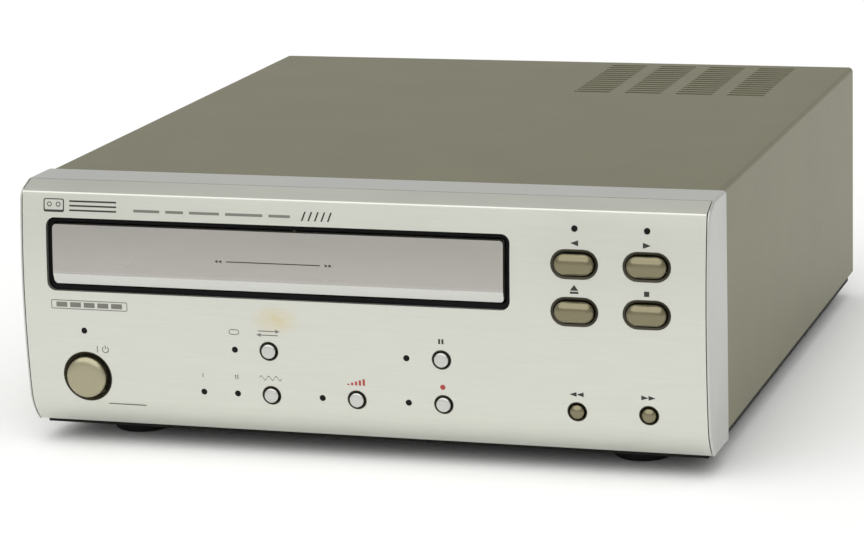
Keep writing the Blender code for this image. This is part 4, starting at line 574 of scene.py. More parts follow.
ACETAL = painted("white_acetal", (0.66, 0.65, 0.60), 0.45, grain=0.004, size=1200)
BRASS = brushed("turned_brass", (0.62, 0.47, 0.19), 0.28, 1.0)
IRON = brushed("laminations", (0.13, 0.125, 0.12), 0.48, 0.7, contrast=0.3, relief=0.02)
INK = painted("ink_dark", (0.022, 0.022, 0.018), 0.7, grain=0.002, size=3000)
INK_PALE = painted("ink_grey", (0.16, 0.16, 0.14), 0.7, grain=0.002, size=3000)
INK_RED = painted("ink_red", (0.36, 0.045, 0.035), 0.7, grain=0.002, size=3000)


# ---- camera, floor and light -----------------------------------------------------------------

CAMERA_PLACE = (0.29958, -0.98237, 0.26950)
CAMERA_TURN = (76.8508, 1.7171, 17.3093)
CAMERA_LENS = 135.15
SENSOR_WIDTH = 36.0
CLIP_START = 0.05
FLOOR_COLOUR = (0.97, 0.97, 0.97)
FLOOR_SIDE = 5.0             # metres, like the two below
FLOOR_FRONT = -0.95          # just ahead of the camera
FLOOR_BACK = 8.0
SUN_DIRECTION = (-0.12, -0.60, 1.0)
SUN_ANGLE = 95.0
SUN_STRENGTH = 2.1
SKY = ((0.02, 0.66), (0.20, 0.62), (0.6, 0.48), (0.95, 0.45))  # height, brightness
SKY_BLUE = 0.98              # the blue part's share of the brightness


def add_camera():
    camera = bpy.data.cameras.new("camera")
    camera.lens = CAMERA_LENS
    camera.sensor_width = SENSOR_WIDTH
    camera.clip_start = CLIP_START
    holder = bpy.data.objects.new("camera", camera)
    holder.location = CAMERA_PLACE
    holder.rotation_euler = [math.radians(angle) for angle in CAMERA_TURN]
    bpy.context.scene.collection.objects.link(holder)
    bpy.context.scene.camera = holder


def add_floor():
    mesh = bpy.data.meshes.new("floor")
    corners = [(-FLOOR_SIDE, FLOOR_FRONT, 0), (FLOOR_SIDE, FLOOR_FRONT, 0),
               (FLOOR_SIDE, FLOOR_BACK, 0), (-FLOOR_SIDE, FLOOR_BACK, 0)]
    mesh.from_pydata(corners, [], [(0, 1, 2, 3)])
    mesh.materials.append(painted("floor_white", FLOOR_COLOUR, 0.7, grain=0.002, size=400,
                                  mottle=0.0))
    floor = bpy.data.objects.new("floor", mesh)
    bpy.context.scene.collection.objects.link(floor)


def add_softbox():
    """A very wide sun: one even softbox over the whole table."""
    light = bpy.data.lights.new("softbox", "SUN")
    light.angle = math.radians(SUN_ANGLE)
    light.energy = SUN_STRENGTH
    holder = bpy.data.objects.new("softbox", light)
    holder.rotation_euler = (-Vector(SUN_DIRECTION)).to_track_quat("-Z", "Y").to_euler()
    bpy.context.scene.collection.objects.link(holder)


def add_sky():
    """Soft studio surroundings, a little brighter round the horizon than overhead."""
    world = bpy.data.worlds.new("studio")
    bpy.context.scene.world = world
    world.use_nodes = True
    nodes, links = world.node_tree.nodes, world.node_tree.links
    place = nodes.new("ShaderNodeTexCoord")
    parts = nodes.new("ShaderNodeSeparateXYZ")
    ramp = nodes.new("ShaderNodeValToRGB")
    for position, level in SKY:
        stop = ramp.color_ramp.elements.new(position)
        stop.color = (level, level, level * SKY_BLUE, 1)
    ramp.color_ramp.elements.remove(ramp.color_ramp.elements[0])
    links.new(place.outputs["Generated"], parts.inputs["Vector"])
    links.new(parts.outputs["Z"], ramp.inputs["Fac"])
    links.new(ramp.outputs["Color"], nodes["Background"].inputs["Color"])
    nodes["Background"].inputs["Strength"].default_value = 1.0


add_camera()
add_floor()
add_softbox()
add_sky()
bpy.context.scene.view_settings.view_transform = "Standard"


# ---- front panel -----------------------------------------------------------------------------

OPENING_LOW, OPENING_HIGH = deck_box("drawer_surround")
OPENING_X = (OPENING_LOW.x + OPENING_HIGH.x) / 2
OPENING_Z = (OPENING_LOW.z + OPENING_HIGH.z) / 2
OPENING_WIDTH = OPENING_HIGH.x - OPENING_LOW.x - 2 * SURROUND_REACH
OPENING_HEIGHT = OPENING_HIGH.z - OPENING_LOW.z - 2 * SURROUND_REACH

BUTTON_KINDS = {
    "oblong": (OBLONG_REACH, OBLONG_CAP_RADIUS, OBLONG_RING_RADIUS),
    "small": (0, SMALL_CAP_RADIUS, SMALL_RING_RADIUS),
    "gold": (0, SMALL_CAP_RADIUS, SMALL_RING_RADIUS),
    "power": (0, POWER_CAP_RADIUS, POWER_RING_RADIUS),
}
BUTTONS = {
    "play_reverse": "oblong", "play_forward": "oblong", "eject": "oblong", "stop": "oblong",
    "rewind": "gold", "fast_forward": "gold", "reverse_mode": "small",
    "noise_reduction": "small", "record_level": "small", "pause": "small", "record": "small",
    "power": "power",
}
# A cap's dome height, how square its shoulder is, its finish and its slot
CAPS = {
    "oblong": (2.0, 2.4, GOLD, "gold_metal"),
    "small": (0.5, 3.6, SILVER, "button_silver"),
    "gold": (1.3, 2.0, GOLD, "gold_metal"),
    "power": (1.7, 3.2, PALE_GOLD, "gold_metal"),
}
INDICATORS = [node for node in sorted(frame["nodes"]) if node.startswith("indicator_")]


def fillet(corner, down, along, radius, steps=10):
    """Points that round a corner between two directions that leave it."""
    down, along = Vector(down).normalized(), Vector(along).normalized()
    half = down.angle(along) / 2
    reach = radius / math.tan(half)
    centre = Vector(corner) + (down + along).normalized() * radius / math.sin(half)
    start, end = Vector(corner) + down * reach - centre, Vector(corner) + along * reach - centre
    sweep = start.angle_signed(end)
    points = []
    for i in range(steps + 1):
        points.append(tuple(centre + Matrix.Rotation(-sweep * i / steps, 2) @ start))
    return points


def face_line(low, crease_radius, steps=36):
    """The face's line in y and z from height low over the rounded crease to the flat top."""
    lean = 4 * FACE_BOW / CREASE
    bend = fillet((0, CREASE), (-lean, -1), (BEVEL_DEPTH, CREASE_DROP), crease_radius)
    top = bend[0][1] - BEND_CLEARANCE
    heights = [low + (top - low) * i / steps for i in range(steps + 1)]
    return [(face_y(z), z) for z in heights] + bend + [(BEVEL_DEPTH, PANEL_HEIGHT)]


def moved_in(points, distance):
    """The open line moved to the right of its direction, with mitred corners."""
    moved = []
    for i, point in enumerate(points):
        here = Vector(point)
        ahead = Vector(points[min(i + 1, len(points) - 1)])
        behind = Vector(points[max(i - 1, 0)])
        into = (here - behind).normalized() if i > 0 else (ahead - here).normalized()
        out = (ahead - here).normalized() if i < len(points) - 1 else into
        normal = Vector((into.y + out.y, -into.x - out.x)).normalized()
        moved.append(tuple(here + normal * distance / normal.dot(Vector((into.y, -into.x)))))
    return moved


def sharp_line(low, steps=24):
    """The face's line with a sharp crease, which can be moved in."""
    heights = [low + (CREASE - low) * i / steps for i in range(steps + 1)]
    return [(face_y(z), z) for z in heights] + [(BEVEL_DEPTH, PANEL_HEIGHT)]


def ahead_of_face(depth):
    """The room ahead of a surface that lies this deep behind the face."""
    line = moved_in(sharp_line(0.0), depth)
    far, top = -6 * FACE_BOW, PANEL_HEIGHT + PAST
    return [(far, -PAST), (line[0][0], -PAST)] + line + [(line[-1][0], top), (far, top)]


def button_holes(which):
    """Outlines of the holes for the rings or for the caps, and for the indicators."""
    holes = []
    for name, kind in BUTTONS.items():
        reach, cap, ring = BUTTON_KINDS[kind]
        place = middle("button_" + name)
        radius = ring if which == "ring" else cap + CAP_CLEARANCE
        holes.append(stadium(place.x, place.z, reach, radius))
    for node in INDICATORS:
        place = middle(node)
        holes.append(stadium(place.x, place.z, 0, LENS_RADIUS + LENS_GAP, 6))
    return holes


def make_face():
    """The thin brushed plate over the panel's front, folded back at the crease."""
    outer = face_line(GAP, PLATE_CREASE_RADIUS)
    inner = moved_in(sharp_line(GAP), PLATE_THICKNESS)
    half = HALF_WIDTH - PLATE_INSET
    plate = piece("panel_face", outline([outer + inner[::-1]], -half, half, ALONG_X), FACE,
                  replaces=["face_plate"])
    holes = bmesh.new()
    opening = rounded_rectangle(OPENING_X, OPENING_Z, OPENING_WIDTH, OPENING_HEIGHT, DRAWER_CORNER)
    for hole in [opening] + button_holes("ring"):
        add_outline(holes, [hole], -FACE_CUT, FACE_CUT, ALONG_Y)
    cut(plate, holes)


def at_panel_end(edge):
    """Whether an edge outlines one of the panel's two ends, apart from its straight back."""
    near, far = (vertex.co for vertex in edge.verts)
    on_end = abs(abs(near.x) - HALF_WIDTH) < 0.01 and abs(near.x - far.x) < 0.01
    return on_end and min(near.y, far.y) < PANEL_DEPTH - 0.1 and edge.calc_face_angle(0) > 1.0


def make_bezel():
    """The moulding round the plate: a seat for it, a pocket behind, and the openings."""
    body = [(PANEL_DEPTH, 0.0)] + face_line(0.0, END_CREASE_RADIUS) + [(PANEL_DEPTH, PANEL_HEIGHT)]
    shape = outline([body], -HALF_WIDTH, HALF_WIDTH, ALONG_X)
    ends = [edge for edge in shape.edges if at_panel_end(edge)]
    bmesh.ops.bevel(shape, geom=ends, offset=BEZEL_EDGE, offset_type="OFFSET", segments=4,
                    profile=0.5, affect="EDGES", clamp_overlap=True)
    bezel = piece("panel_frame", shape, BEZEL, replaces=["front_bezel"])
    half = HALF_WIDTH - PLATE_INSET + GAP
    seat = outline([ahead_of_face(PLATE_THICKNESS + GAP)], -half, half, ALONG_X)
    back = PANEL_DEPTH + PAST
    walls = [(back, 0.0)] + sharp_line(0.0) + [(back, PANEL_HEIGHT)]
    half = HALF_WIDTH - END_WALL
    pocket = outline([moved_in(walls, PLATE_THICKNESS + GAP + PANEL_WALL)], -half, half, ALONG_X)
    holes = bmesh.new()
    spare = 2 * (SURROUND_REACH + GAP)
    opening = rounded_rectangle(OPENING_X, OPENING_Z, OPENING_WIDTH + spare, OPENING_HEIGHT + spare,
                                DRAWER_CORNER)
    for hole in [opening] + button_holes("cap"):
        add_outline(holes, [hole], -FACE_CUT, PANEL_DEPTH - 2 * GAP, ALONG_Y)
    cut(bezel, seat, pocket, holes)


def face_ring(x, z, reach, profile):
    """A ring whose (radius, depth) section follows the curved face round an outline."""
    loops = []
    for radius, depth in profile:
        loops.append([(u, face_y(v) + depth, v) for u, v in stadium(x, z, reach, radius)])
    return skin(loops, ring=True)


def make_button_rings():
    """Dark rings between each button and the face plate, painted shade of the gap round each cap,
    dished deeper round the power button.
    """
    for name, kind in BUTTONS.items():
        reach, cap, ring = BUTTON_KINDS[kind]
        place = middle("button_" + name)
        outer, inner = ring - RING_FIT, cap + CAP_CLEARANCE
        dish = POWER_RING_DISH if kind == "power" else RING_DISH
        profile = [(outer, RING_DEPTH), (outer, 0.0), (outer - RING_LIP[0], -RING_LIP[1]),
                   (inner + RING_FOOT[0], dish), (inner, dish + RING_FOOT[1]), (inner, RING_DEPTH)]
        piece("ring_" + name, face_ring(place.x, place.z, reach, profile), RING_SHADE)


def crown(radius, height, steps=9, sharpness=2.6):
    """(radius, depth) points from the middle of a domed cap out to its rim."""
    points = []
    for i in range(steps + 1):
        share = math.sin(math.pi / 2 * i / steps)
        drop = 1 - (1 - share ** sharpness) ** (1 / sharpness)
        points.append((max(radius * share, CROWN_TIP), height * drop))
    return points


def cap_loop(x, z, reach, radius):
    """One section of a cap, with the same number of points whether it is oblong or round."""
    if reach == 0:
        return arc(x, z, radius, -90, 83, CAP_STEPS) + arc(x, z, radius, 90, 263, CAP_STEPS)
    right = arc(x + reach, z, radius, -90, 90, CAP_STEPS)
    return right + arc(x - reach, z, radius, 90, 270, CAP_STEPS)


def make_button_caps():
    """Domed caps, each with a flange behind the bezel's wall and a stem to its switch."""
    for name, kind in BUTTONS.items():
        node = "button_" + name
        reach, cap, ring = BUTTON_KINDS[kind]
        dome, sharpness, material, slot = CAPS[kind]
        low, high = deck_box(node)
        x, z = (low.x + high.x) / 2, (low.z + high.z) / 2
        flange = (face_y(z) + PLATE_THICKNESS + GAP + PANEL_WALL + FLANGE_GAP) - low.y
        sunk = SILVER_CAP_SUNK if kind == "small" else 0.0
        section = [(reach, radius, depth + sunk)
                   for radius, depth in crown(cap, dome, sharpness=sharpness)]
        section += [(reach, cap, flange), (reach, cap + FLANGE_REACH, flange),
                    (reach, cap + FLANGE_REACH, flange + FLANGE_THICKNESS),
                    (0, STEM_RADIUS, flange + FLANGE_THICKNESS), (0, STEM_RADIUS, high.y - low.y)]
        loops = []
        for length, radius, depth in section:
            loops.append([(u, low.y + depth, v) for u, v in cap_loop(x, z, length, radius)])
        piece("cap_" + name, skin(loops), material, node, [node])


def make_lenses():
    """Small dark domes, one for each indicator."""
    for node in INDICATORS:
        low, high = deck_box(node)
        x, z = (low.x + high.x) / 2, (low.z + high.z) / 2
        front = face_y(z) - LENS_PROUD
        section = [(radius, high.y - front - depth)
                   for radius, depth in crown(LENS_RADIUS, LENS_DOME, 5)] + [(LENS_RADIUS, 0)]
        shape = turned(section, (x, high.y, z), ALONG_Y, 24)
        piece(node.replace("indicator", "lens"), shape, LENS, replaces=[node])


def door_levels(low, high):
    """Heights at which the door's section is taken, closer together at its rounded corners."""
    corner = [DOOR_CORNER * (1 - math.cos(math.pi / 2 * i / DOOR_CORNER_STEPS))
              for i in range(DOOR_CORNER_STEPS + 1)]
    strip_top = low + DOOR_STRIP
    rise = [strip_top + (high - DOOR_CORNER - strip_top) * i / DOOR_RISE_STEPS
            for i in range(DOOR_RISE_STEPS)]
    return [low + step for step in corner] + rise + [high - step for step in corner[::-1]]


def make_door():
    """The drawer's front: curved with the face, rounded corners, a leaning strip along its foot,
    coloured lighter as painted reflection.
    """
    low, high = deck_box("drawer_front")
    foot, head = low.z, high.z
    strip_top = foot + DOOR_STRIP
    loops = []
    for z in door_levels(foot, head):
        from_end = min(z - foot, head - z, DOOR_CORNER)
        inset = DOOR_CORNER - math.sqrt(DOOR_CORNER ** 2 - (DOOR_CORNER - from_end) ** 2)
        left, right = low.x + inset, high.x - inset
        front = face_y(z) + DOOR_STRIP_DEPTH * max(0.0, (strip_top - z) / DOOR_STRIP)
        loops.append([(left, front, z), (right, front, z), (right, high.y, z), (left, high.y, z)])
    door = piece("drawer_door", skin(loops), DOOR, "drawer", ["drawer_front"])
    # The strip's front faces take the lighter metal: painted reflection along the door's foot.
    door.data.materials.append(STRIP_SHEEN)
    strip_edge = ORIGIN.z + strip_top * MM
    for face in door.data.polygons:
        if face.center.z < strip_edge and face.normal.y < -0.5:
            face.material_index = 1
    soften(door, DOOR_EDGE, 50, 3)


# ---- markings --------------------------------------------------------------------------------

def printed(name, outlines, ink, at=(0, 0), body="case"):
    """Ink on the face: outlines about a point, each a list of loops, just proud of the curve."""
    shape = bmesh.new()
    for loops in outlines:
        placed = [[(u + at[0], v + at[1]) for u, v in loop] for loop in loops]
        add_outline(shape, placed, -INK_HEIGHT, 2 * INK_HEIGHT, ALONG_Y)
    for vertex in shape.verts:
        vertex.co.y += face_y(vertex.co.z)
    piece("print_" + name, shape, ink, body)


def box_loop(x, z, width, height):
    return [(x - width / 2, z - height / 2), (x + width / 2, z - height / 2),
            (x + width / 2, z + height / 2), (x - width / 2, z + height / 2)]


def bar(x, z, width, height):
    return [box_loop(x, z, width, height)]


def arrow(x, z, width, height, sense):
    """A triangle that points to the right, or to the left when sense is -1."""
    points = [(x - sense * width / 2, z - height / 2), (x + sense * width / 2, z),
              (x - sense * width / 2, z + height / 2)]
    return [points if sense > 0 else points[::-1]]


def circle_ring(x, z, radius, line, steps=8):
    return [stadium(x, z, 0, radius, steps), stadium(x, z, 0, radius - line, steps)]


def wave(x, z, length, height, line, cycles=3, steps=30):
    """A thin sine line."""
    upper, lower = [], []
    for i in range(steps + 1):
        u = x - length / 2 + length * i / steps
        v = z + height / 2 * math.sin(2 * math.pi * cycles * i / steps)
        upper.append((u, v + line / 2))
        lower.append((u, v - line / 2))
    return [lower + upper[::-1]]


# By name: the node a sign stands by, its ink, and its outlines about that node's middle
SIGNS = {
    "play_reverse": ("button_play_reverse", INK, [arrow(0, 6.05, 2.3, 1.7, -1)]),
    "play_forward": ("button_play_forward", INK, [arrow(0, 6.05, 2.3, 1.7, 1)]),
    "eject": ("button_eject", INK,
              [[[(-1.25, 6.15), (1.25, 6.15), (0, 7.8)]], bar(0, 5.55, 2.5, 0.6)]),
    "stop": ("button_stop", INK, [bar(0, 6.0, 1.5, 1.5)]),
    "rewind": ("button_rewind", INK, [arrow(u, 5.25, 2.1, 1.4, -1) for u in (-1.05, 1.05)]),
    "fast_forward": ("button_fast_forward", INK,
                     [arrow(u, 5.25, 2.1, 1.4, 1) for u in (-1.05, 1.05)]),
    "pause": ("button_pause", INK, [bar(u, 5.5, 0.6, 1.5) for u in (-0.5, 0.5)]),
    "record": ("button_record", INK_RED, [[stadium(0, 5.3, 0, 0.8, 6)]]),
    "record_level": ("button_record_level", INK_RED,
                     [bar(-2.4 + 1.2 * i, 4.7 + 0.2 * i, 0.7, 0.4 * (i + 1)) for i in range(5)]),
    "noise_reduction": ("button_noise_reduction", INK_PALE, [wave(0, 5.3, 7.0, 1.3, 0.3)]),
    "reverse_mode": ("button_reverse_mode", INK_PALE,
                     [bar(-0.4, 6.1, 5.4, 0.3), arrow(3.0, 6.1, 1.4, 1.2, 1),
                      bar(0.4, 4.9, 5.4, 0.3), arrow(-3.0, 4.9, 1.4, 1.2, -1)]),
    "both_sides": ("indicator_reverse_mode", INK_PALE,
                   [[stadium(0, 5.4, 0.8, 0.85, 6), stadium(0, 5.4, 0.8, 0.6, 6)]]),
    "filter_b": ("indicator_filter_b", INK_PALE, [bar(0, 5.2, 0.3, 1.3)]),
    "filter_c": ("indicator_filter_c", INK_PALE, [bar(u, 5.2, 0.3, 1.3) for u in (-0.35, 0.35)]),
    "power": ("button_power", INK_PALE,
              [[arc(6.4, 8.7, 1.1, 125, 415, 20) + arc(6.4, 8.7, 0.82, 415, 125, 20)],
               bar(6.4, 9.45, 0.28, 1.2), bar(3.8, 8.7, 0.28, 2.0)]),
    "foot_line": ("button_power", INK_PALE, [bar(12.0, -8.4, 12.0, 0.35)]),
}
TITLE_BARS = (8.2, 5.6, 9.4, 11.6, 6.6)
TITLE_GAP = 1.9
MODEL_STROKE = ((0, -2.0), (0.5, -2.0), (1.5, 0.7), (1.0, 0.7))


def print_signs():
    """Signs by the buttons and indicators."""
    for name, (node, ink, outlines) in SIGNS.items():
        spot = middle(node)
        printed(name, outlines, ink, (spot.x, spot.z))


def print_title():
    """Above the drawer, a small cassette with stripes, then plain bars and strokes."""
    at = OPENING_LOW.x + 3.6, OPENING_HIGH.z + 2.6
    case = [rounded_rectangle(0, 0, 6.6, 4.0, 0.6, 3), rounded_rectangle(0, 0.2, 5.9, 3.0, 0.3, 3)]
    reels = [circle_ring(side * 1.4, 0.3, 0.75, 0.25) for side in (-1, 1)]
    stripes = [bar(12.5, step * 1.35, 15.0, 0.5) for step in (-1, 0, 1)]
    printed("cassette", [case, *reels, *stripes], INK, at)
    start, bars = 25.5, []
    for length in TITLE_BARS:
        bars.append(bar(start + length / 2, -0.9, length, 0.8))
        start += length + TITLE_GAP
    printed("title_line", bars, INK_PALE, at)
    strokes = [[[(start + 1.5 + 2.0 * i + u, v) for u, v in MODEL_STROKE]] for i in range(5)]
    printed("model_strokes", strokes, INK, at)


def print_tape_types():
    """Below the drawer, a thin frame with five dashes."""
    frame_line = [rounded_rectangle(0, 0, 24.5, 2.8, 0.5, 3),
                  rounded_rectangle(0, 0, 24.0, 2.3, 0.3, 3)]
    dashes = [bar(-8.8 + 4.4 * i, 0, 3.5, 1.5) for i in range(5)]
    printed("tape_types", [frame_line, *dashes], INK_PALE,
            (OPENING_LOW.x + 14.2, OPENING_LOW.z - 3.1))


def print_door_line():
    """On the door, a thin line between pairs of small arrows."""
    ends = []
    for side in (-1, 1):
        ends += [arrow(side * (16.5 + 1.2 * i), 0, 1.0, 0.9, side) for i in (0, 1)]
    printed("door_line", [bar(0, 0, 29.0, 0.3), *ends], INK, (OPENING_X, OPENING_Z - 0.2), "drawer")


# ---- casing ----------------------------------------------------------------------------------

def make_cover():
    """The folded cover with its slots, and the lip that its rear screws hold."""
    low, high = deck_box("top_cover")
    half, radius = high.x, COVER_BEND_RADIUS
    side = [(half, COVER_SKIRT)] + arc(half - radius, PANEL_HEIGHT - radius, radius, 0, 90, 10)
    line = side + [(-x, z) for x, z in side[::-1]]
    shape = outline([line + moved_in(line, -SHEET)[::-1]], low.y, high.y, ALONG_Y)
    cover = piece("cover_shell", shape, COVER, replaces=["top_cover"])
    slots = bmesh.new()
    for group in range(VENT_GROUPS):
        x = HALF_WIDTH - VENT_END_MARGIN - group * VENT_PITCH - VENT_WIDTH / 2
        for row in range(VENT_ROWS):
            y = high.y - VENT_REAR_MARGIN - VENT_SLOT / 2 - row * VENT_LENGTH / VENT_ROWS
            slot = stadium(x, y, VENT_WIDTH / 2 - VENT_SLOT / 2, VENT_SLOT / 2, 5)
            add_outline(slots, [slot], PANEL_HEIGHT - VENT_CUT[0], PANEL_HEIGHT + VENT_CUT[1],
                        ALONG_Z)
    cut(cover, slots)
    soften(cover, COVER_EDGE, 60)
    flange = rounded_rectangle(0, PANEL_HEIGHT - COVER_FLANGE / 2 - SHEET, 2 * (half - 2 * radius),
                               COVER_FLANGE - SHEET, LIP_CORNER, 4)
    flange = outline([flange], high.y - SHEET, high.y - LIP_SET_BACK, ALONG_Y)
    lip = piece("cover_lip", flange, COVER)
    holes = bmesh.new()
    for name in ("left", "middle", "right"):
        spot = middle("cover_screw_" + name)
        add_outline(holes, [stadium(spot.x, spot.z, 0, COVER_SCREW_HOLE, 6)], high.y - PAST,
                    high.y + PAST, ALONG_Y)
    cut(lip, holes)


def make_feet():
    """Rubber feet with a rounded tread and a hollow underneath."""
    for name in ("front_left", "front_right", "rear_left", "rear_right"):
        node = "foot_" + name
        low, high = deck_box(node)
        radius, height = (high.x - low.x) / 2, high.z - low.z
        profile = [(0, height)] + [(radius - inset, height - drop) for inset, drop in FOOT_TOP_EDGE]
        profile += [(radius - inset, up) for inset, up in FOOT_TREAD] + list(FOOT_HOLLOW)
        spot = ((low.x + high.x) / 2, (low.y + high.y) / 2, low.z)
        piece("rubber_" + node, turned(profile, spot, steps=48), RUBBER, replaces=[node])


def pan_screw(name, x, z, base, rise, radius, tip, replaces=()):
    """A cross-recessed screw whose head stands on the plane y = base and faces the rear."""
    section = [(r, rise - depth) for r, depth in crown(radius, rise * HEAD_DOME_SHARE, 6, 2.2)]
    section += [(radius, 0), (SHANK_RADIUS, 0), (SHANK_RADIUS, -tip)]
    screw = piece(name, turned(section, (x, base, z), BACKWARD, 32), CHASSIS,
                  replaces=replaces)
    top, half = base + rise, radius * CROSS_SHARE
    recess = []
    for across, up in ((half, CROSS_HALF_WIDTH), (CROSS_HALF_WIDTH, half)):
        slot = bmesh.new()
        add_box(slot, (x - across, top - CROSS_DEPTH, z - up),
                (x + across, top + CROSS_PAST, z + up))
        recess.append(slot)
    cut(screw, *recess)


def make_screws():
    """Three screws that hold the cover, and five more on the rear panel."""
    for name in ("left", "middle", "right"):
        node = "cover_screw_" + name
        low, high = deck_box(node)
        spot = middle(node)
        base = deck_box("top_cover")[1].y + COVER_SCREW_LIFT
        pan_screw("screw_" + name, spot.x, spot.z, base, high.y - base, (high.x - low.x) / 2,
                  base - low.y, [node])
    low, high = deck_box("rear_panel")
    inlet, jacks = middle("mains_inlet"), middle("jack_block")
    across, up = PANEL_SCREW_MARGIN
    places = {"inlet_left": (inlet.x - INLET_SCREW_OFFSET, inlet.z),
              "inlet_right": (inlet.x + INLET_SCREW_OFFSET, inlet.z),
              "jacks": (jacks.x, jacks.z), "panel_left": (low.x + across, low.z + up),
              "panel_right": (high.x - across, low.z + up)}
    for name, (x, z) in places.items():
        pan_screw("rear_screw_" + name, x, z, high.y, *REAR_SCREW)


# ---- rear fittings ---------------------------------------------------------------------------

def make_jacks():
    """Four phono jacks: a moulded block behind the panel, plated shells, coloured insulators."""
    low, high = deck_box("jack_block")
    panel = deck_box("rear_panel")[1].y
    centre = middle("jack_block")
    width, height = high.x - low.x, high.z - low.z
    block = rounded_rectangle(centre.x, centre.z, width, height, JACK_BLOCK_CORNER)
    block = outline([block], low.y, panel - SHEET - GAP, ALONG_Y)
    piece("jack_body", block, BLACK, replaces=["jack_block"])
    reach = high.y - panel
    pitch = width - 2 * JACK_MARGIN
    shell = [(JACK_BORE, -SHEET), (JACK_RADIUS, -SHEET), *JACK_COLLAR]
    shell += [(radius, reach - drop) for radius, drop in JACK_TIP]
    insulator = [(INSULATOR_BORE, -SHEET), (INSULATOR_RADIUS, -SHEET)]
    insulator += [(radius, reach - drop) for radius, drop in INSULATOR_TIP]
    for column, side in zip((-1, 1), SIDES):
        for row, level, colour in ((-1, "low", JACK_RED), (1, "high", JACK_WHITE)):
            at = (centre.x + column * pitch / 2, panel, centre.z + row * pitch / 2)
            name = side + "_" + level
            piece("jack_shell_" + name, turned_ring(shell, at, BACKWARD), NICKEL)
            piece("jack_insulator_" + name, turned_ring(insulator, at, BACKWARD), colour)


def figure_of_eight(x, z, offset, radius, steps=16):
    """Two circles side by side, joined where they meet."""
    waist = math.degrees(math.acos(offset / radius))
    left = arc(x - offset, z, radius, waist, 360 - waist, steps)
    right = arc(x + offset, z, radius, 180 + waist, 540 - waist, steps)
    return left[:-1] + right[:-1]


def make_inlet():
    """Two-pin mains socket: moulding with a lip through the panel, a waisted throat, two pins."""
    low, high = deck_box("mains_inlet")
    panel = deck_box("rear_panel")[1].y
    centre = middle("mains_inlet")
    throat_end = high.y - INLET_THROAT
    body = rounded_rectangle(centre.x, centre.z, high.x - low.x, high.z - low.z, INLET_CORNER)
    body = outline([body], low.y, high.y, ALONG_Y)
    add_outline(body, [stadium(centre.x, centre.z, *INLET_LIP)], high.y - INLET_LIP_ROOT,
                panel + INLET_LIP_RISE, ALONG_Y)
    socket = piece("inlet_body", body, BLACK, replaces=["mains_inlet"])
    throat = figure_of_eight(centre.x, centre.z, INLET_PIN_OFFSET, INLET_THROAT_RADIUS)
    cut(socket, outline([throat], throat_end, panel + INLET_THROAT_PAST, ALONG_Y))
    reach = INLET_THROAT - INLET_PIN_SUNK
    pin = [(radius, reach - drop) for radius, drop in INLET_PIN_TIP] + [(INLET_PIN_RADIUS, 0)]
    for sense, side in zip((-1, 1), SIDES):
        at = (centre.x + sense * INLET_PIN_OFFSET, throat_end - INLET_PIN_ROOT, centre.z)
        piece("inlet_pin_" + side, turned(pin, at, BACKWARD, 24), NICKEL)


def make_rear_label():
    """A plain foil label with ruled lines, between the inlet and the jacks."""
    panel = deck_box("rear_panel")[1].y
    x, z = LABEL_X, middle("jack_block").z - LABEL_DROP
    plate = outline([rounded_rectangle(x, z, *LABEL_SIZE, LABEL_CORNER)], panel,
                    panel + LABEL_THICKNESS, ALONG_Y)
    piece("rear_label", plate, LABEL)
    lines = bmesh.new()
    line_start = x + LABEL_SIZE[0] / 2 - LABEL_MARGIN
    for row, length in enumerate(LABEL_LINES):
        height = z + LABEL_FIRST_LINE - LABEL_LINE_PITCH * row
        line = box_loop(line_start - length / 2, height, length, LABEL_LINE_WIDTH)
        add_outline(lines, [line], panel + LABEL_INK[0], panel + LABEL_INK[1], ALONG_Y)
    piece("rear_label_lines", lines, INK)


# ---- tape mechanism --------------------------------------------------------------------------

def axis_foot(node):
    """The middle of a node's lower face, and its height."""
    low, high = deck_box(node)
    return ((low.x + high.x) / 2, (low.y + high.y) / 2, low.z), high.z - low.z


def make_hubs():
    """Reel hubs: a spindle with three driving fins on a friction disc."""
    for side in SIDES:
        node = "reel_hub_" + side
        (x, y, foot), height = axis_foot(node)
        base = Vector((x, y, foot + HUB_SHAFT))
        rise = height - HUB_SHAFT
        profile = [(radius, rise - drop) for radius, drop in HUB_TIP] + list(HUB_DISC)
        shape = turned(profile, base, steps=48)
        levels = ((FIN_FOOT, 1.0), (rise - FIN_TOP_DROP[0], 1.0), (rise - FIN_TOP_DROP[1], FIN_TAPER))
        for third in range(3):
            turn = Matrix.Rotation(math.radians(120 * third), 4, "Z")
            blade = skin([[turn @ Vector((u * grow, v, level)) + base for u, v in FIN]
                          for level, grow in levels])
            mesh = bpy.data.meshes.new("fin")
            blade.to_mesh(mesh)
            blade.free()
            shape.from_mesh(mesh)
            bpy.data.meshes.remove(mesh)
        piece("hub_" + side, shape, ACETAL, "reel_" + side, [node])


def make_wheels():
    """Flywheels with their capstans, the pinch rollers and the motor's pulley."""
    for side in SIDES:
        node = "flywheel_" + side
        at, height = axis_foot(node)
        profile = [(radius, height - drop) for radius, drop in CAPSTAN_TIP] + list(FLYWHEEL)
        piece("wheel_" + side, turned(profile, at, steps=72), ZINC,
              "capstan_" + side, [node])
        node = "pinch_roller_" + side
        at, height = axis_foot(node)
        bore, end, radius = TYRE
        tyre = [(bore, 0), (end, 0), (radius, TYRE_EDGE), (radius, height - TYRE_EDGE),
                (end, height), (bore, height)]
        bore, radius = CORE
        core = [(bore, CORE_SUNK), (radius, CORE_SUNK), (radius, height - CORE_SUNK),
                (bore, height - CORE_SUNK)]
        piece("roller_tyre_" + side, turned_ring(tyre, at), RUBBER, node, [node])
        piece("roller_core_" + side, turned_ring(core, at), ACETAL, node)
    node = "motor_pulley"
    at, height = axis_foot(node)
    bore, end, flange, seat = PULLEY
    edge, wide = PULLEY_FLANGE
    rim = [(bore, 0), (end, 0), (flange, edge), (seat, wide), (seat, height - wide),
           (flange, height - edge), (end, height), (bore, height)]
    piece("pulley", turned_ring(rim, at), BRASS, node, [node])


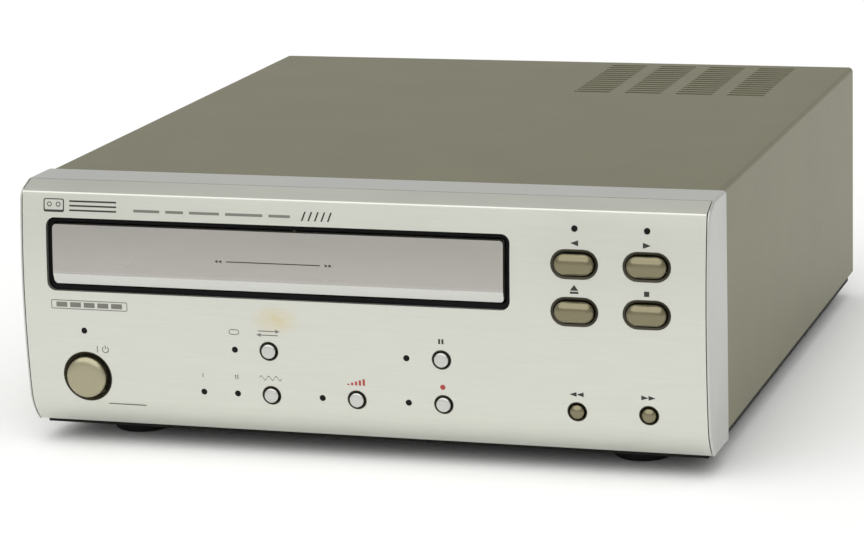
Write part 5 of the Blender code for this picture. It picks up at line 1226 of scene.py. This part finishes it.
def make_head():
    """The tape head, with a crowned and polished face."""
    low, high = deck_box("tape_head")
    centre, half = (low.x + high.x) / 2, (high.x - low.x) / 2
    shares = [-1 + i / HEAD_STEPS for i in range(2 * HEAD_STEPS + 1)]
    crowned = [(centre + half * share, low.y + HEAD_CROWN * share ** 2) for share in shares]
    crowned += [(high.x, high.y), (low.x, high.y)]
    piece("head_can", outline([crowned], low.z, high.z, ALONG_Z), HEAD_METAL,
          "head_carriage", ["tape_head"])


# ---- carried-over nodes ----------------------------------------------------------------------

FINISH_OF_SLOT = {
    "black_plastic": BLACK, "chassis_steel": CHASSIS, "zinc_steel": ZINC, "rubber": RUBBER,
    "white_plastic": ACETAL, "transformer_core": IRON, "brass": BRASS, "circuit_board": BOARD,
    "silver_plate": FACE, "silver_plastic": BEZEL, "drawer_metal": DOOR, "cover_paint": COVER,
    "gold_metal": GOLD, "button_silver": SILVER, "indicator": LENS,
}
# Nodes that show as they are, and the width of their softened edges
SOFT_EDGE_NODES = {
    "drawer_tray": 0.3, "drawer_surround": 0.2, "bottom_chassis": 0.2, "rear_panel": 0.15,
    "drawer_rail_left": 0.3, "drawer_rail_right": 0.3, "loading_motor": 0.4, "transformer": 0.5,
    "mechanism_frame": 0.2, "mechanism_base": 0.2, "head_plate": 0.15, "front_board": 0.15,
    "main_board": 0.2, "capstan_motor": 0.4, "loading_gear": 0.1,
}


def finish_nodes():
    """Every CAD node takes the fine material of its slot, apart from the drawer's surround, whose
    darker matt black is painted shade in its gap; those still shown get a soft edge.
    """
    for part in frame["record"]["subparts"]:
        item = frame["nodes"][part["node"]]
        # The drawer's surround is black moulding, made darker and matt as painted shade.
        material = BAND_SHADE if part["node"] == "drawer_surround" else FINISH_OF_SLOT[part["material_slot"]]
        for place in item.material_slots:
            place.material = material
    for node, width in SOFT_EDGE_NODES.items():
        item = frame["nodes"][node]
        item.modifiers.new("Weld", "WELD").merge_threshold = WELD_DISTANCE
        soften(item, width, 50)


make_face()
make_bezel()
make_button_rings()
make_button_caps()
make_lenses()
make_door()
print_signs()
print_title()
print_tape_types()
print_door_line()
make_cover()
make_feet()
make_screws()
make_jacks()
make_inlet()
make_rear_label()
make_hubs()
make_wheels()
make_head()
finish_nodes()
